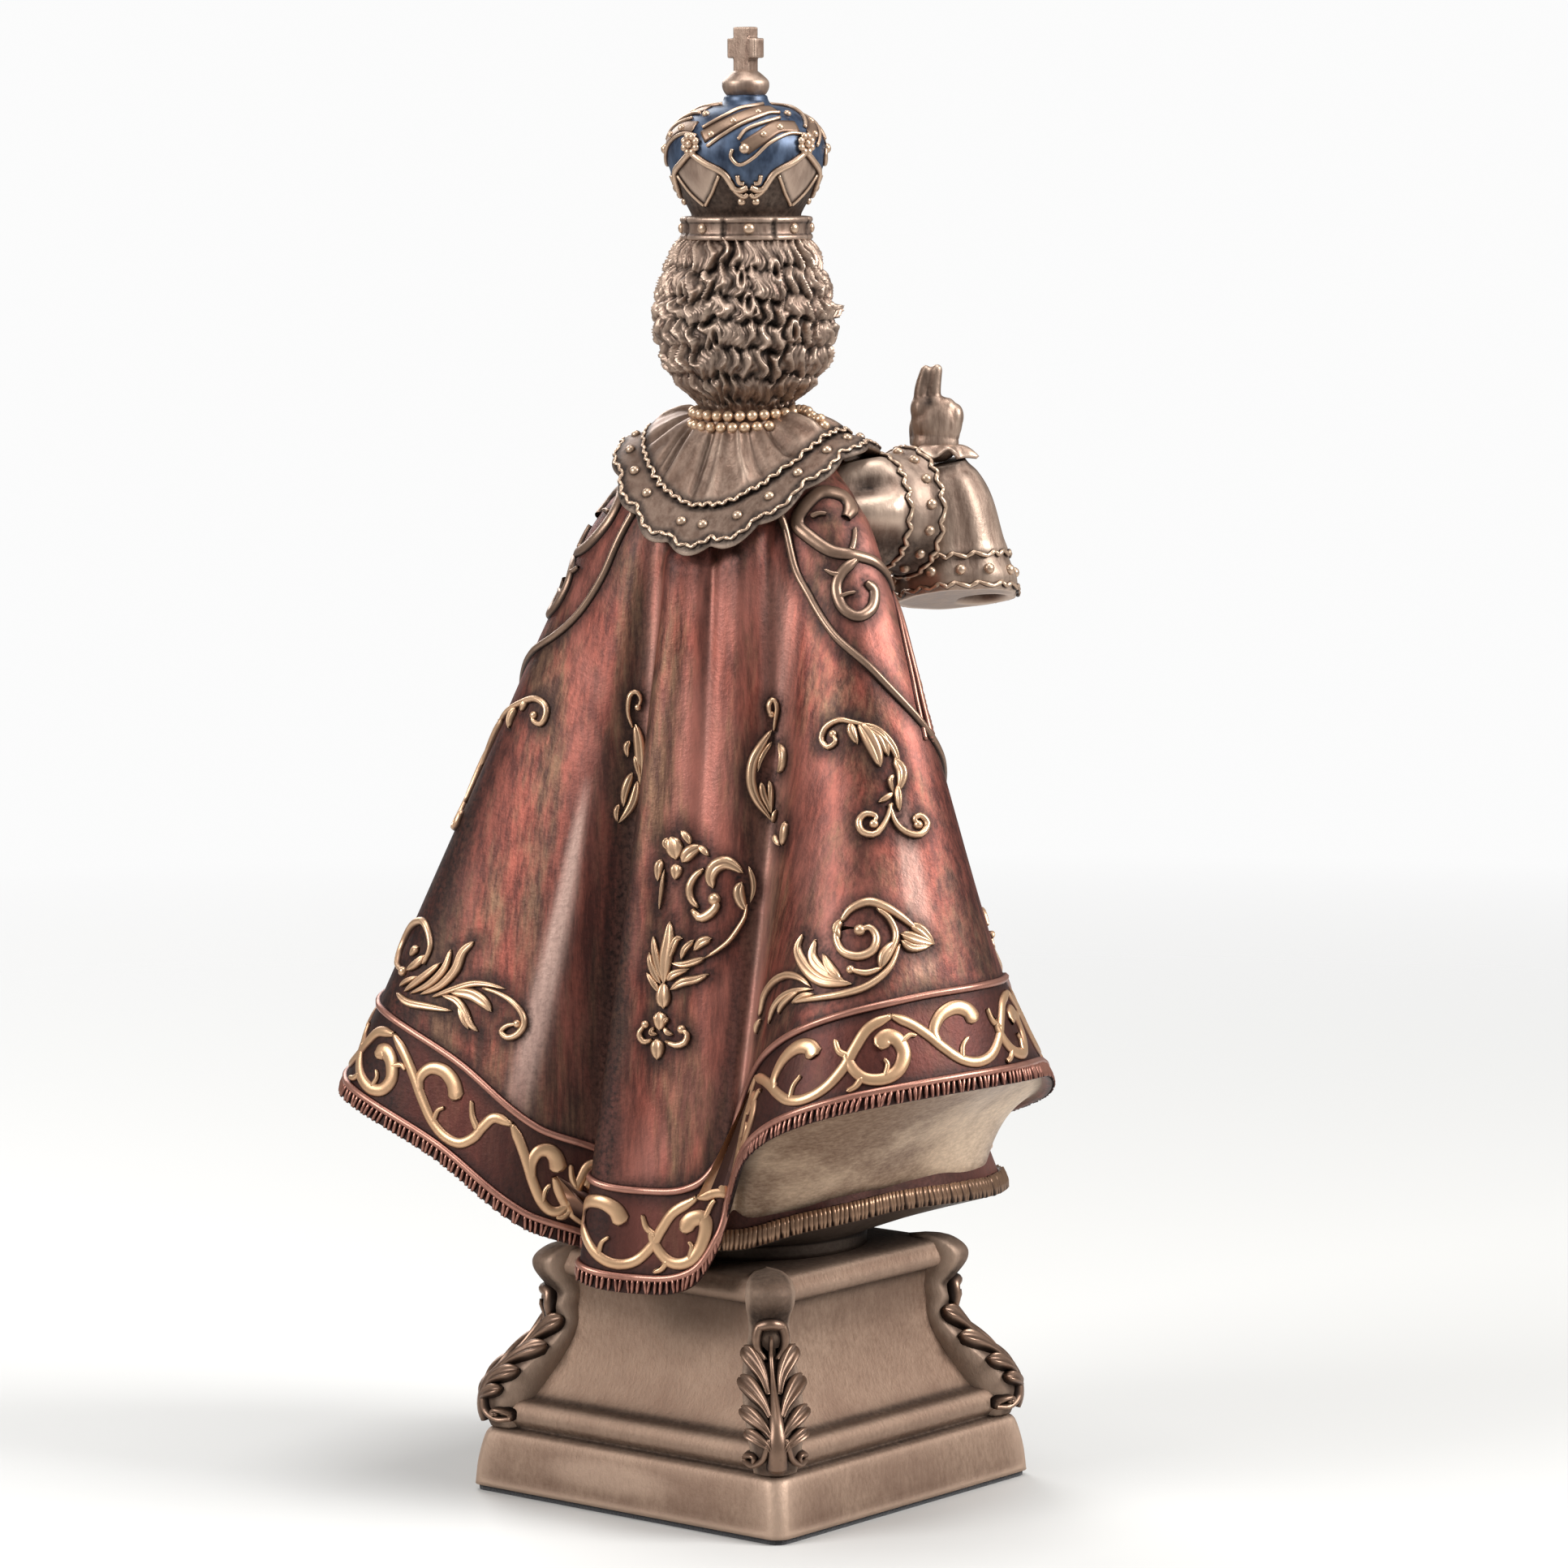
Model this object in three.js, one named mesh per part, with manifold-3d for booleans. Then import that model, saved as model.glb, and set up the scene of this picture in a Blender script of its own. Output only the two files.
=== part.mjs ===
import * as THREE from "three";
import Module from "manifold-3d";
import { mergeVertices } from "three/addons/utils/BufferGeometryUtils.js";

const wasm = await Module();
wasm.setup();

// Driving dimensions, in millimetres. +Z is up, the child's face looks towards -Y.
const figureHeight = 249;
const plinthWidth = 83.2;
const plinthHeight = 49.8;
const slabHeight = 11.9;
const waistWidth = 54;
const cushionWidth = 61;
const cushionHeight = 6.4;
const seatWidth = 50;
const slabCorner = 3.2;
const feltThickness = 1.2;
const feltInset = 0.8;
const consoleWidth = 15;
const squareColumns = 16;
const consoleSides = 6;
const consoleDeep = 7;
const consoleLift = 0.3;
const consoleCore = 0.6;

// The carving's own sizes are those of a figure this tall, and keep their share of its height.
const carvedHeight = 249;
const seam = 0.1;

// The body is turned a little on the plinth, the head looks straight ahead.
// Angles go round from the middle of the back, positive towards the child's left.
const backAngle = -15;
const faceAngle = 183;

// Each rib of the cape: angle at the hem, lean of the rib at the shoulders, radius and height
// of the hem, and how far the rib swells out between shoulders and hem.
const cape = {
  top: 164,
  shoulderAcross: 25,
  shoulderDeep: 21,
  tuck: 8,
  tuckShare: 0.15,
  lip: 2.4,
  hollow: 3.5,
  edge: 150,
  columns: 44,
  falls: [0, 0.03, 0.08, 0.15, 0.25, 0.36, 0.47, 0.58, 0.7, 0.8],
  ribs: [
    { angle: -150, lean: 22, reach: 51, hem: 21, swell: -0.3 },
    { angle: -130, lean: 16, reach: 60, hem: 29, swell: -0.55 },
    { angle: -106, lean: 2, reach: 66, hem: 38, swell: -0.65 },
    { angle: -84, lean: -8, reach: 74, hem: 41, swell: 0.15 },
    { angle: -62, lean: -20, reach: 74, hem: 39.5, swell: 0.22 },
    { angle: -48, lean: -28, reach: 68, hem: 35, swell: 0.15 },
    { angle: -39, lean: -31, reach: 57, hem: 27, swell: 0.05 },
    { angle: -34, lean: -28, reach: 42, hem: 15, swell: 0.05 },
    { angle: -30, lean: -19, reach: 42, hem: 5, swell: 0.15 },
    { angle: -23, lean: -12, reach: 42.5, hem: -2, swell: 0.2 },
    { angle: -8, lean: -8, reach: 43, hem: -4, swell: 0.2 },
    { angle: 9, lean: -10, reach: 46.5, hem: -2.3, swell: 0.1 },
    { angle: 16, lean: -10, reach: 38, hem: 1, swell: 0 },
    { angle: 23, lean: -5, reach: 52, hem: 7, swell: 0.1 },
    { angle: 37, lean: -1, reach: 66.5, hem: 20, swell: 0.14 },
    { angle: 51, lean: 0, reach: 84.5, hem: 30.5, swell: 0.05 },
    { angle: 75, lean: -3, reach: 79, hem: 31.5, swell: 0.12 },
    { angle: 103, lean: -8, reach: 68, hem: 28, swell: 0.22 },
    { angle: 130, lean: -18, reach: 57, hem: 21, swell: 0.15 },
    { angle: 150, lean: -22, reach: 50, hem: 15, swell: 0.1 },
  ],
};
const softFolds = [
  { angle: -25, depth: 1.5, width: 3.5, end: 0.8 },
  { angle: -2, depth: 1.3, width: 3, end: 0.45 },
  { angle: -47, depth: 1.2, width: 4, end: 0.6 },
];
const trim = { cord: 1.2, bandWidth: 16.5, fringe: 3.2, waves: 10, waveHeight: 3.4 };
const yoke = { cord: 0.9, sides: 3, steps: 5 };

const tunic = {
  top: 163,
  chestAcross: 17,
  chestDeep: 15,
  hemHeight: 8.5,
  hemLift: 4,
  hemThickness: 2,
  footRadius: 24,
  pleats: 10,
  pleatDepth: 1.7,
  neckSlope: 6,
  columns: 30,
  falls: [0, 0.12, 0.3, 0.5, 0.72, 0.9, 1],
  hem: [[-180, 47], [-141, 53], [-100, 39], [-60, 36], [0, 34], [60, 37], [100, 40], [141, 52], [180, 47]],
};

const collar = {
  neckRadius: 9.5,
  neckHeight: 171,
  innerRadius: 20.8,
  innerDrop: 18,
  innerRise: 14.5,
  outerRadius: 26,
  outerDrop: 24.5,
  outerRise: 19,
  thickness: 1.6,
  sag: 2.2,
  pleats: 12,
  pleatDepth: 0.55,
  scallops: 11,
  scallopDepth: 0.15,
  columns: 36,
};
const necklace = { radius: 10.9, heights: [170.6, 168], bead: 1.3, beads: 14 };

const hair = {
  profile: [[171, 8], [174, 10.8], [177.4, 14.2], [180.7, 16.3], [184, 17.4], [187, 18.2], [192, 18.4],
    [197, 17], [200.5, 15.8], [203.7, 14.2], [207.5, 12.2]],
  tiers: [171, 174, 179, 185, 190.4, 195, 200.8, 207.5],
  tierSwell: 1.3,
  strands: 9,
  strandDepth: 0.55,
  strandWave: 7,
  faceOpening: 58,
  faceSink: 0.36,
  fringeHeight: 203,
  fringeFade: 6,
  columns: 27,
  levelsPerTier: 2,
};
const face = { height: 188, forward: 5.5, across: 11.3, deep: 12.6, tall: 14.2 };

const crown = {
  profile: [[210.5, 11], [211.5, 11.2], [215.5, 13.4], [219.5, 15.2], [223.4, 16.1], [227, 15.5], [230.2, 13],
    [232.6, 9], [233.6, 4.6]],
  knob: [[240.2, 2.2], [238.6, 4.4], [237.2, 4.8], [235.8, 3.2], [235.4, 4.4], [233.6, 4.6]],
  bandRadius: 13.2,
  bandLow: 206.5,
  bandHigh: 210.5,
  columns: 24,
  plates: 8,
  groove: 0.5,
  rosettes: 4,
  rosetteAngle: 5,
  rosetteHeight: 224.5,
  rosetteRadius: 2.4,
  scallopLow: 215.5,
  border: 0.9,
  crossTall: 9.4,
  crossAcross: 7.4,
  crossBar: 4,
  crossDeep: 3.1,
  crossArm: 5.1,
  bevel: 0.35,
};

const arm = {
  hand: { angle: -130, radius: 39, height: 167 },
  shoulder: { angle: -108, radius: 17, height: 153 },
  elbow: { angle: -124, radius: 43, height: 139 },
  cuff: { angle: -130, radius: 40, height: 160 },
  mouth: { angle: -127, radius: 43.5, height: 131 },
  palmAcross: 5.2,
  palmTall: 5.8,
  palmDeep: 2.9,
  bell: [[0, 12.2], [0.05, 13.2], [0.1, 12], [0.27, 11], [0.33, 11.4], [0.39, 9.8], [0.7, 7.2], [0.94, 5],
    [1, 5.8]],
  puff: [[0, 9], [0.3, 11.5], [0.7, 12], [1, 9]],
};
const orb = { angle: 126, radius: 33, height: 124, size: 9 };
const leftArm = {
  shoulder: { angle: 82, radius: 16, height: 152 },
  elbow: { angle: 92, radius: 23, height: orb.height - 4 },
  wristShare: 0.42,
  wristDrop: 5,
  upperGirth: 10,
  cuffGirth: 10.5,
  palmAcross: 6,
  palmDeep: 6.5,
  palmThick: 3,
  palmSink: 1.5,
  fingers: [60, 100, 140, 260],
  knuckleReach: 4,
  fingerReach: 9,
  fingerGirth: 1.5,
};
const orbCross = { tall: 8, across: 5.4, bar: 1.8, deep: 1.6, lift: 3 };

const radians = THREE.MathUtils.degToRad;
const up = new THREE.Vector3(0, 0, 1);

function around(angle, radius, height) {
  return new THREE.Vector3(radius * Math.sin(radians(angle)), radius * Math.cos(radians(angle)), height);
}

function outward(angle) {
  return around(angle, 1, 0);
}

// Value at x of a smooth line through stations [x, value], held level beyond its ends.
function through(stations, x) {
  const last = stations.length - 1;
  const at = THREE.MathUtils.clamp(x, stations[0][0], stations[last][0]);
  let i = 0;
  while (i < last - 1 && stations[i + 1][0] < at) i += 1;
  const slope = (j) => {
    const before = stations[Math.max(j - 1, 0)];
    const after = stations[Math.min(j + 1, last)];
    return (after[1] - before[1]) / (after[0] - before[0]);
  };
  const [x0, y0] = stations[i];
  const [x1, y1] = stations[i + 1];
  const span = x1 - x0;
  const s = (at - x0) / span;
  const rise = slope(i) * span * s * (1 - s) ** 2 - slope(i + 1) * span * s * s * (1 - s);
  return y0 + (y1 - y0) * s * s * (3 - 2 * s) + rise;
}

// Moves every vertex of a closed geometry and returns it as a solid.
function mould(geometry, move) {
  const place = geometry.attributes.position;
  for (let i = 0; i < place.count; i += 1) {
    const moved = move(place.getX(i), place.getY(i), place.getZ(i));
    place.setXYZ(i, moved.x, moved.y, moved.z);
  }
  geometry.deleteAttribute("normal");
  geometry.deleteAttribute("uv");
  const merged = mergeVertices(geometry, 1e-4);
  const mesh = new wasm.Mesh({
    numProp: 3,
    vertProperties: merged.attributes.position.array,
    triVerts: new Uint32Array(merged.index.array),
  });
  return new wasm.Manifold(mesh);
}

// A closed body of rings, its rows from top to bottom: place(turn, row) is a point of a ring,
// middle(row) the height of the first or last ring's centre, which lies over core.
function vessel(columns, rows, place, middle, core = new THREE.Vector3()) {
  const last = rows.length - 1;
  return mould(new THREE.CylinderGeometry(1, 1, 1, columns, last), (x, y, z) => {
    const row = rows[Math.round((0.5 - y) * last)];
    if (Math.hypot(x, z) < 0.5) return core.clone().setZ(middle(row));
    return place(THREE.MathUtils.radToDeg(Math.atan2(-x, z)), row);
  });
}

// A closed body along a curve, with a ring at each stop (shares of the way): girth(s) is its
// half-width and half-depth there, facing(s) the way that its depth looks.
function limb(curve, sides, stops, girth, facing) {
  const last = stops.length - 1;
  return mould(new THREE.CylinderGeometry(1, 1, 1, sides, last), (x, y, z) => {
    const s = stops[Math.round((0.5 - y) * last)];
    const tangent = curve.getTangent(s);
    const across = facing(s).clone().cross(tangent).normalize();
    const out = tangent.clone().cross(across);
    const [wide, deep] = girth(s);
    return curve.getPoint(s).addScaledVector(across, x * wide).addScaledVector(out, z * deep);
  });
}

// Stops spaced evenly along the way.
function even(count) {
  return Array.from({ length: count + 1 }, (_, i) => i / count);
}

function ball(at, radius, rings = 5, squash = 1) {
  return mould(new THREE.SphereGeometry(radius, rings + 2, rings), (x, y, z) => (
    new THREE.Vector3(x, z, -y * squash).add(at)
  ));
}

// Joins solids into one, closes the hollows left between them, and smooths away the seams' slivers.
function join(solids) {
  const pieces = wasm.Manifold.union(solids).decompose().filter((piece) => piece.volume() > 0);
  return wasm.Manifold.union(pieces).simplify(seam);
}

// The widths of a rod that keeps its girth and rounds off at both ends.
function rounded(wide, deep, power = 6) {
  return (s) => {
    const share = Math.max(0.25, Math.sqrt(1 - Math.abs(2 * s - 1) ** power));
    return [wide * share, deep * share];
  };
}

// One value of the cape's ribs, as stations round the hem.
function ribs(key) {
  return cape.ribs.map((rib) => [rib.angle, rib[key]]);
}

function shoulderRadius(angle) {
  const turn = radians(angle - backAngle);
  return 1 / Math.hypot(Math.sin(turn) / cape.shoulderAcross, Math.cos(turn) / cape.shoulderDeep);
}

// Point of the cape's outer face: angle at the hem, and fall from the shoulders (0) to the hem (1).
function capePoint(angle, fall, proud = 0) {
  const lean = angle + through(ribs("lean"), angle) * (1 - fall);
  const shoulder = shoulderRadius(lean);
  const spread = fall + through(ribs("swell"), angle) * fall * (1 - fall);
  const tuck = cape.tuck * Math.max(0, 1 - fall / cape.tuckShare) ** 2;
  let radius = shoulder + (through(ribs("reach"), angle) - shoulder) * spread - tuck + proud;
  for (const fold of softFolds) {
    const fade = Math.max(0, 1 - fall / fold.end) * Math.min(1, fall * 8);
    radius -= fold.depth * fade * Math.exp(-(((lean - fold.angle) / fold.width) ** 2));
  }
  return around(lean, radius, cape.top + (through(ribs("hem"), angle) - cape.top) * fall);
}

function capeFacing(angle, fall) {
  const step = 0.01;
  const along = capePoint(angle + 1, fall).sub(capePoint(angle - 1, fall));
  const down = capePoint(angle, fall + step).sub(capePoint(angle, fall - step));
  return down.cross(along).normalize();
}

function capeLength(angle) {
  return capePoint(angle, 1).distanceTo(capePoint(angle, 0));
}

// The tunic's hem, a little higher in front than at the back.
function tunicHem(angle) {
  const height = tunic.hemHeight + tunic.hemLift * Math.sin(radians(angle / 2)) ** 2;
  return around(angle, through(tunic.hem, angle), height);
}

// Three rows that raise a cord on the cape, at a distance above the hem that may wave.
function cordRows(distance, wave = 0) {
  return [1, 0, -1].map((side) => ({
    distance: distance + side * trim.cord,
    proud: side === 0 ? trim.cord : 0,
    wave,
  }));
}

// The cape: outer face with its hem band, turned hem, and the lining that runs in to the tunic's hem.
function makeCape() {
  const rows = [
    ...cape.falls.map((fall) => ({ fall })),
    ...cordRows(trim.bandWidth + trim.fringe),
    ...cordRows(trim.bandWidth / 2 + trim.fringe, trim.waveHeight),
    ...cordRows(trim.fringe),
    { distance: 0 },
    { lining: "lip" },
    { lining: "hollow" },
    { lining: "foot" },
  ];
  const place = (turn, row) => {
    const front = Math.abs(turn) > cape.edge;
    const away = (turn / cape.edge) ** 2;
    const spaced = turn * (0.55 + 0.45 * away) + 12 * (away - 1);
    const angle = front ? Math.sign(turn) * (cape.edge - 3) : spaced;
    const wave = (row.wave ?? 0) * Math.sin(radians(turn * trim.waves));
    const distance = (row.distance ?? 0) + wave;
    const fall = row.fall ?? 1 - distance / capeLength(angle);
    const outer = capePoint(angle, fall, row.proud);
    if (Math.abs(turn) > cape.edge + 360 / cape.columns) return around(turn, tunic.footRadius / 3, outer.z);
    if (front) outer.addScaledVector(outward(angle), -cape.lip * 1.5);
    if (!row.lining) return outer;
    const lip = outer.addScaledVector(outward(angle), -cape.lip).addScaledVector(up, cape.lip / 4);
    const foot = tunicHem(angle);
    if (row.lining === "lip") return lip;
    if (row.lining === "hollow") return lip.lerp(foot, 0.5).addScaledVector(up, cape.hollow);
    foot.addScaledVector(outward(angle), -2 * tunic.hemThickness);
    return foot.addScaledVector(up, tunic.hemThickness);
  };
  return vessel(cape.columns, rows, place, (row) => (row.lining ? 2 * tunic.hemHeight : cape.top));
}

// The tunic: a chest that widens into a pleated bell, turned in at its hem to the foot.
function makeTunic() {
  const rows = [
    ...tunic.falls.map((fall) => ({ fall, inset: 0 })),
    { fall: 1, inset: tunic.hemThickness },
    { foot: tunic.hemHeight - tunic.hemThickness / 2 },
    { foot: 0 },
  ];
  const place = (turn, { fall, inset, foot }) => {
    if (foot !== undefined) return around(turn, tunic.footRadius, foot);
    const body = radians(turn - backAngle);
    const chest = 1 / Math.hypot(Math.sin(body) / tunic.chestAcross, Math.cos(body) / tunic.chestDeep);
    const neck = tunic.neckSlope * Math.max(0, 1 - fall / tunic.falls[1]);
    const pleat = tunic.pleatDepth * fall * Math.cos(radians(turn * tunic.pleats));
    const reach = (through(tunic.hem, turn) - chest) * (0.35 * fall + 0.65 * fall ** 2);
    const height = THREE.MathUtils.lerp(tunic.top, tunicHem(turn).z, fall);
    return around(turn, chest + reach - neck + pleat - inset, height - inset);
  };
  return vessel(tunic.columns, rows, place, (row) => (row.fall === 0 ? tunic.top : 0));
}

// A curve on the cape's face: route(s) gives the rib's angle and the fall.
class OnCape extends THREE.Curve {
  constructor(route) {
    super();
    this.route = route;
  }

  getPoint(s) {
    return capePoint(...this.route(s));
  }

  facing(s) {
    return capeFacing(...this.route(s));
  }
}

function onCape(route, sides, steps, girth) {
  const curve = new OnCape(route);
  return limb(curve, sides, even(steps), girth, (s) => curve.facing(s));
}

// The cord that bounds the yoke on each side.
function makeYoke() {
  return [-1, 1].map((side) => {
    const route = (s) => [backAngle + side * (23 + 75 * s ** 1.2), 0.16 + 0.38 * s];
    return onCape(route, yoke.sides, yoke.steps, () => [yoke.cord, yoke.cord]);
  });
}

// The relief on the cape is drawn in strokes. Each starts at a rib's angle and a fall, heads off
// (0 is down the rib, 90 to the child's left) and turns by the two rates, in degrees a millimetre.
const relief = [
  { at: [-60, 0.56], heading: -60, length: 38, turn: [4, 3], wide: 2.2 },
  { at: [-36, 0.53], heading: 20, length: 28, turn: [-5, 3], wide: 2 },
  { at: [10, 0.53], heading: -20, length: 28, turn: [5, -3], wide: 2 },
  { at: [38, 0.5], heading: 50, length: 34, turn: [-4, -3], wide: 1.8 },
  { at: [-12, 0.66], heading: 0, length: 12, turn: [0, 0], wide: 3.4 },
  { at: [-11, 0.78], heading: 0, length: 24, turn: [0, 0], wide: 3 },
  { at: [-46, 0.86], heading: 230, length: 44, turn: [-5, -22], wide: 2.2 },
  { at: [30, 0.88], heading: 130, length: 34, turn: [5, 10], wide: 2.6 },
  { at: [-74, 0.22], heading: 0, length: 34, turn: [8, -16], wide: 1.5 },
];
const strokeHeight = 1.1;
const strokeSteps = 4;
const strokeSides = 3;

// The route of one stroke, worked out by turning step by step on the cape.
function strokeRoute(stroke) {
  const stops = [stroke.at];
  const fine = 4;
  const step = stroke.length / (strokeSteps * fine);
  let heading = stroke.heading;
  let [angle, fall] = stroke.at;
  for (let i = 0; i < strokeSteps * fine; i += 1) {
    const share = i / (strokeSteps * fine);
    const radius = Math.hypot(capePoint(angle, fall).x, capePoint(angle, fall).y);
    heading += step * THREE.MathUtils.lerp(stroke.turn[0], stroke.turn[1], share);
    angle += THREE.MathUtils.radToDeg(step * Math.sin(radians(heading)) / radius);
    fall += step * Math.cos(radians(heading)) / capeLength(angle);
    if ((i + 1) % fine === 0) stops.push([angle, fall]);
  }
  return (s) => {
    const i = Math.min(strokeSteps - 1, Math.floor(s * strokeSteps));
    const share = s * strokeSteps - i;
    return stops[i].map((value, k) => THREE.MathUtils.lerp(value, stops[i + 1][k], share));
  };
}

function makeRelief() {
  return relief.map((stroke) => {
    const taper = (s) => stroke.wide * (0.35 + 0.65 * Math.sin(Math.PI * (0.15 + 0.8 * s)));
    return onCape(strokeRoute(stroke), strokeSides, strokeSteps, (s) => [taper(s), strokeHeight]);
  });
}

// The collar lies on the shoulders: its edges rise at the sides and hang at front and back.
function collarRise(angle) {
  return Math.sin(radians(angle - backAngle)) ** 2;
}

function collarPoint(angle, spread) {
  const rise = collarRise(angle);
  const innerHeight = collar.neckHeight - collar.innerDrop + collar.innerRise * rise;
  const outerHeight = collar.neckHeight - collar.outerDrop + collar.outerRise * rise;
  const inner = around(angle, collar.innerRadius, innerHeight);
  const outer = around(angle, collar.outerRadius, outerHeight);
  if (spread > 1) {
    const scallop = collar.scallopDepth * Math.abs(Math.sin(radians(angle * collar.scallops / 2)));
    return inner.lerp(outer, (spread - 1) * (1 + scallop));
  }
  const pleat = collar.pleatDepth * spread * Math.cos(radians(angle * collar.pleats));
  const point = around(angle, collar.neckRadius, collar.neckHeight).lerp(inner, spread);
  return point.addScaledVector(up, pleat + collar.sag * Math.sin(Math.PI * spread) * (rise - 0.3));
}

// The pleated collar in two layers, each with a raised edge.
function makeCollar() {
  const rows = [
    { spread: 0, lift: 0 }, { spread: 0.5, lift: 0 },
    { spread: 0.95, lift: 0.6 }, { spread: 1.02, lift: 0 },
    { spread: 1.9, lift: 0.5 }, { spread: 2, lift: 0 }, { spread: 1.9, lift: -collar.thickness },
    { spread: 0.3, lift: -2 * collar.thickness },
  ];
  const place = (turn, { spread, lift }) => collarPoint(turn, spread).addScaledVector(up, lift);
  return vessel(collar.columns, rows, place, ({ spread, lift }) => collarPoint(backAngle, spread).z + lift);
}

// Two rows of beads round the neck, as one beaded ring.
function makeNecklace() {
  const { radius, heights, bead, beads } = necklace;
  const [high, low] = heights;
  const rows = [[high + bead, 0], [high, 1], [(high + low) / 2, 0], [low, 1], [low - bead, 0]];
  const place = (turn, [height, swell]) => (
    around(turn, radius - bead / 3 + swell * bead * (0.9 + 0.4 * Math.cos(radians(turn * beads))), height)
  );
  return vessel(beads * 2, rows, place, ([height]) => height);
}

// Hair in tiers of wavy locks, open round the face.
function makeHair() {
  const { tiers, levelsPerTier } = hair;
  const count = (tiers.length - 1) * levelsPerTier;
  const rows = even(count).map((share) => Math.round((1 - share) * count) / levelsPerTier);
  const heightOf = (row) => {
    const tier = Math.min(tiers.length - 2, Math.floor(row));
    return THREE.MathUtils.lerp(tiers[tier], tiers[tier + 1], row - tier);
  };
  const place = (turn, row) => {
    const height = heightOf(row);
    const within = row % 1;
    const fade = THREE.MathUtils.clamp((height - tiers[0]) / (tiers[3] - tiers[0]), 0, 1);
    const swell = hair.tierSwell * fade * (Math.sin(Math.PI * (0.15 + 0.85 * within)) - 0.4);
    const wave = hair.strandWave * Math.sin(2 * Math.PI * within + Math.floor(row) * 2);
    const strand = hair.strandDepth * fade * Math.cos(radians((turn + wave) * hair.strands));
    const toFace = Math.abs(THREE.MathUtils.euclideanModulo(turn - faceAngle + 180, 360) - 180);
    const opening = Math.cos((Math.PI / 2) * Math.min(1, toFace / hair.faceOpening));
    const below = THREE.MathUtils.clamp((hair.fringeHeight - height) / hair.fringeFade, 0, 1);
    const radius = through(hair.profile, height) * (1 - hair.faceSink * opening * below);
    return around(turn, radius + swell + strand, height);
  };
  return vessel(hair.columns, rows, place, heightOf);
}

// A calm child's face on plain proportions, looking out of the hair.
function makeFace() {
  const forward = outward(faceAngle);
  const aside = up.clone().cross(forward);
  const onFace = (across, height, depth) => new THREE.Vector3(0, 0, face.height + height)
    .addScaledVector(aside, across)
    .addScaledVector(forward, face.forward + depth);
  const part = (across, height, depth, wide, tall, deep, rings = 4) => (
    mould(new THREE.SphereGeometry(1, rings + 2, rings), (x, y, z) => (
      onFace(across + x * wide, height + y * tall, depth + z * deep)
    ))
  );
  const head = part(0, 0, 0, face.across, face.tall, face.deep, 9);
  const nose = part(0, -1.6, face.deep - 0.9, 1.5, 2.9, 1.9);
  const chin = part(0, -10.2, face.deep - 5.4, 3.4, 2.8, 3.6);
  const lips = part(0, -6.1, face.deep - 2.3, 2.5, 0.9, 1.5);
  const pairs = [-1, 1].flatMap((side) => [
    part(side * 4.3, 2.2, face.deep - 3.2, 2.3, 1.3, 1.9),
    part(side * 6, -3.2, face.deep - 5.6, 3.8, 3.6, 3.4),
    part(side * 4.4, 5.2, face.deep - 2.9, 2.9, 0.7, 1.2),
  ]);
  return [head, nose, chin, lips, ...pairs];
}

// The crown: banded foot, bulb with a scalloped raised border, knob and cross.
function makeCrown() {
  const borderHeight = (turn) => {
    const share = Math.abs(Math.cos(radians((turn - crown.rosetteAngle) * crown.rosettes / 2))) ** 0.7;
    return THREE.MathUtils.lerp(crown.scallopLow, crown.rosetteHeight, share);
  };
  const [bottom, lowest] = crown.profile;
  const shoulder = crown.profile[crown.profile.length - 3];
  const fixed = ([height, radius]) => ({ at: () => height, radius });
  const onBorder = (lift, proud) => ({ at: (turn) => borderHeight(turn) + lift, proud });
  const rows = [
    ...crown.knob.map(fixed),
    ...crown.profile.slice(-3, -1).reverse().map(fixed),
    { at: (turn) => (borderHeight(turn) + shoulder[0]) / 2, proud: 0 },
    onBorder(crown.border, 0), onBorder(0, crown.border), onBorder(-crown.border, 0),
    { at: (turn) => (borderHeight(turn) + lowest[0]) / 2, proud: 0 },
    fixed(lowest), fixed(bottom),
    fixed([crown.bandHigh, crown.bandRadius]), fixed([crown.bandLow, crown.bandRadius]),
  ];
  const place = (turn, { at, radius, proud }) => {
    const height = at(turn);
    const plate = Math.min(0, Math.cos(radians((turn - crown.rosetteAngle) * crown.plates)));
    const groove = radius === crown.bandRadius ? crown.groove * plate : 0;
    return around(turn, (radius ?? through(crown.profile, height) + proud) + groove, height);
  };
  const body = vessel(crown.columns, rows, place, ({ at }) => at(0));
  const rosettes = Array.from({ length: crown.rosettes }, (_, i) => {
    const angle = crown.rosetteAngle + (i * 360) / crown.rosettes;
    const radius = through(crown.profile, crown.rosetteHeight);
    return ball(around(angle, radius, crown.rosetteHeight), crown.rosetteRadius, 3);
  });
  return [body, ...rosettes, makeCross()];
}

// The cross on the crown: one thick plate with bevelled edges, facing as the head does.
function makeCross() {
  const { crossTall, crossAcross, crossBar, crossArm, crossDeep, bevel } = crown;
  const half = crossBar / 2 - bevel;
  const reach = crossAcross / 2 - bevel;
  const shape = new THREE.Shape([
    [-half, 0], [half, 0], [half, crossArm - half], [reach, crossArm - half], [reach, crossArm + half],
    [half, crossArm + half], [half, crossTall - bevel], [-half, crossTall - bevel], [-half, crossArm + half],
    [-reach, crossArm + half], [-reach, crossArm - half], [-half, crossArm - half],
  ].map(([x, y]) => new THREE.Vector2(x, y)));
  const depth = crossDeep - 2 * bevel;
  const options = { depth, bevelSize: bevel, bevelThickness: bevel, bevelSegments: 1 };
  const plate = new THREE.ExtrudeGeometry(shape, options);
  const low = carvedHeight - crossTall;
  return mould(plate, (x, y, z) => new THREE.Vector3(x, depth / 2 - z, low + y));
}

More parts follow.
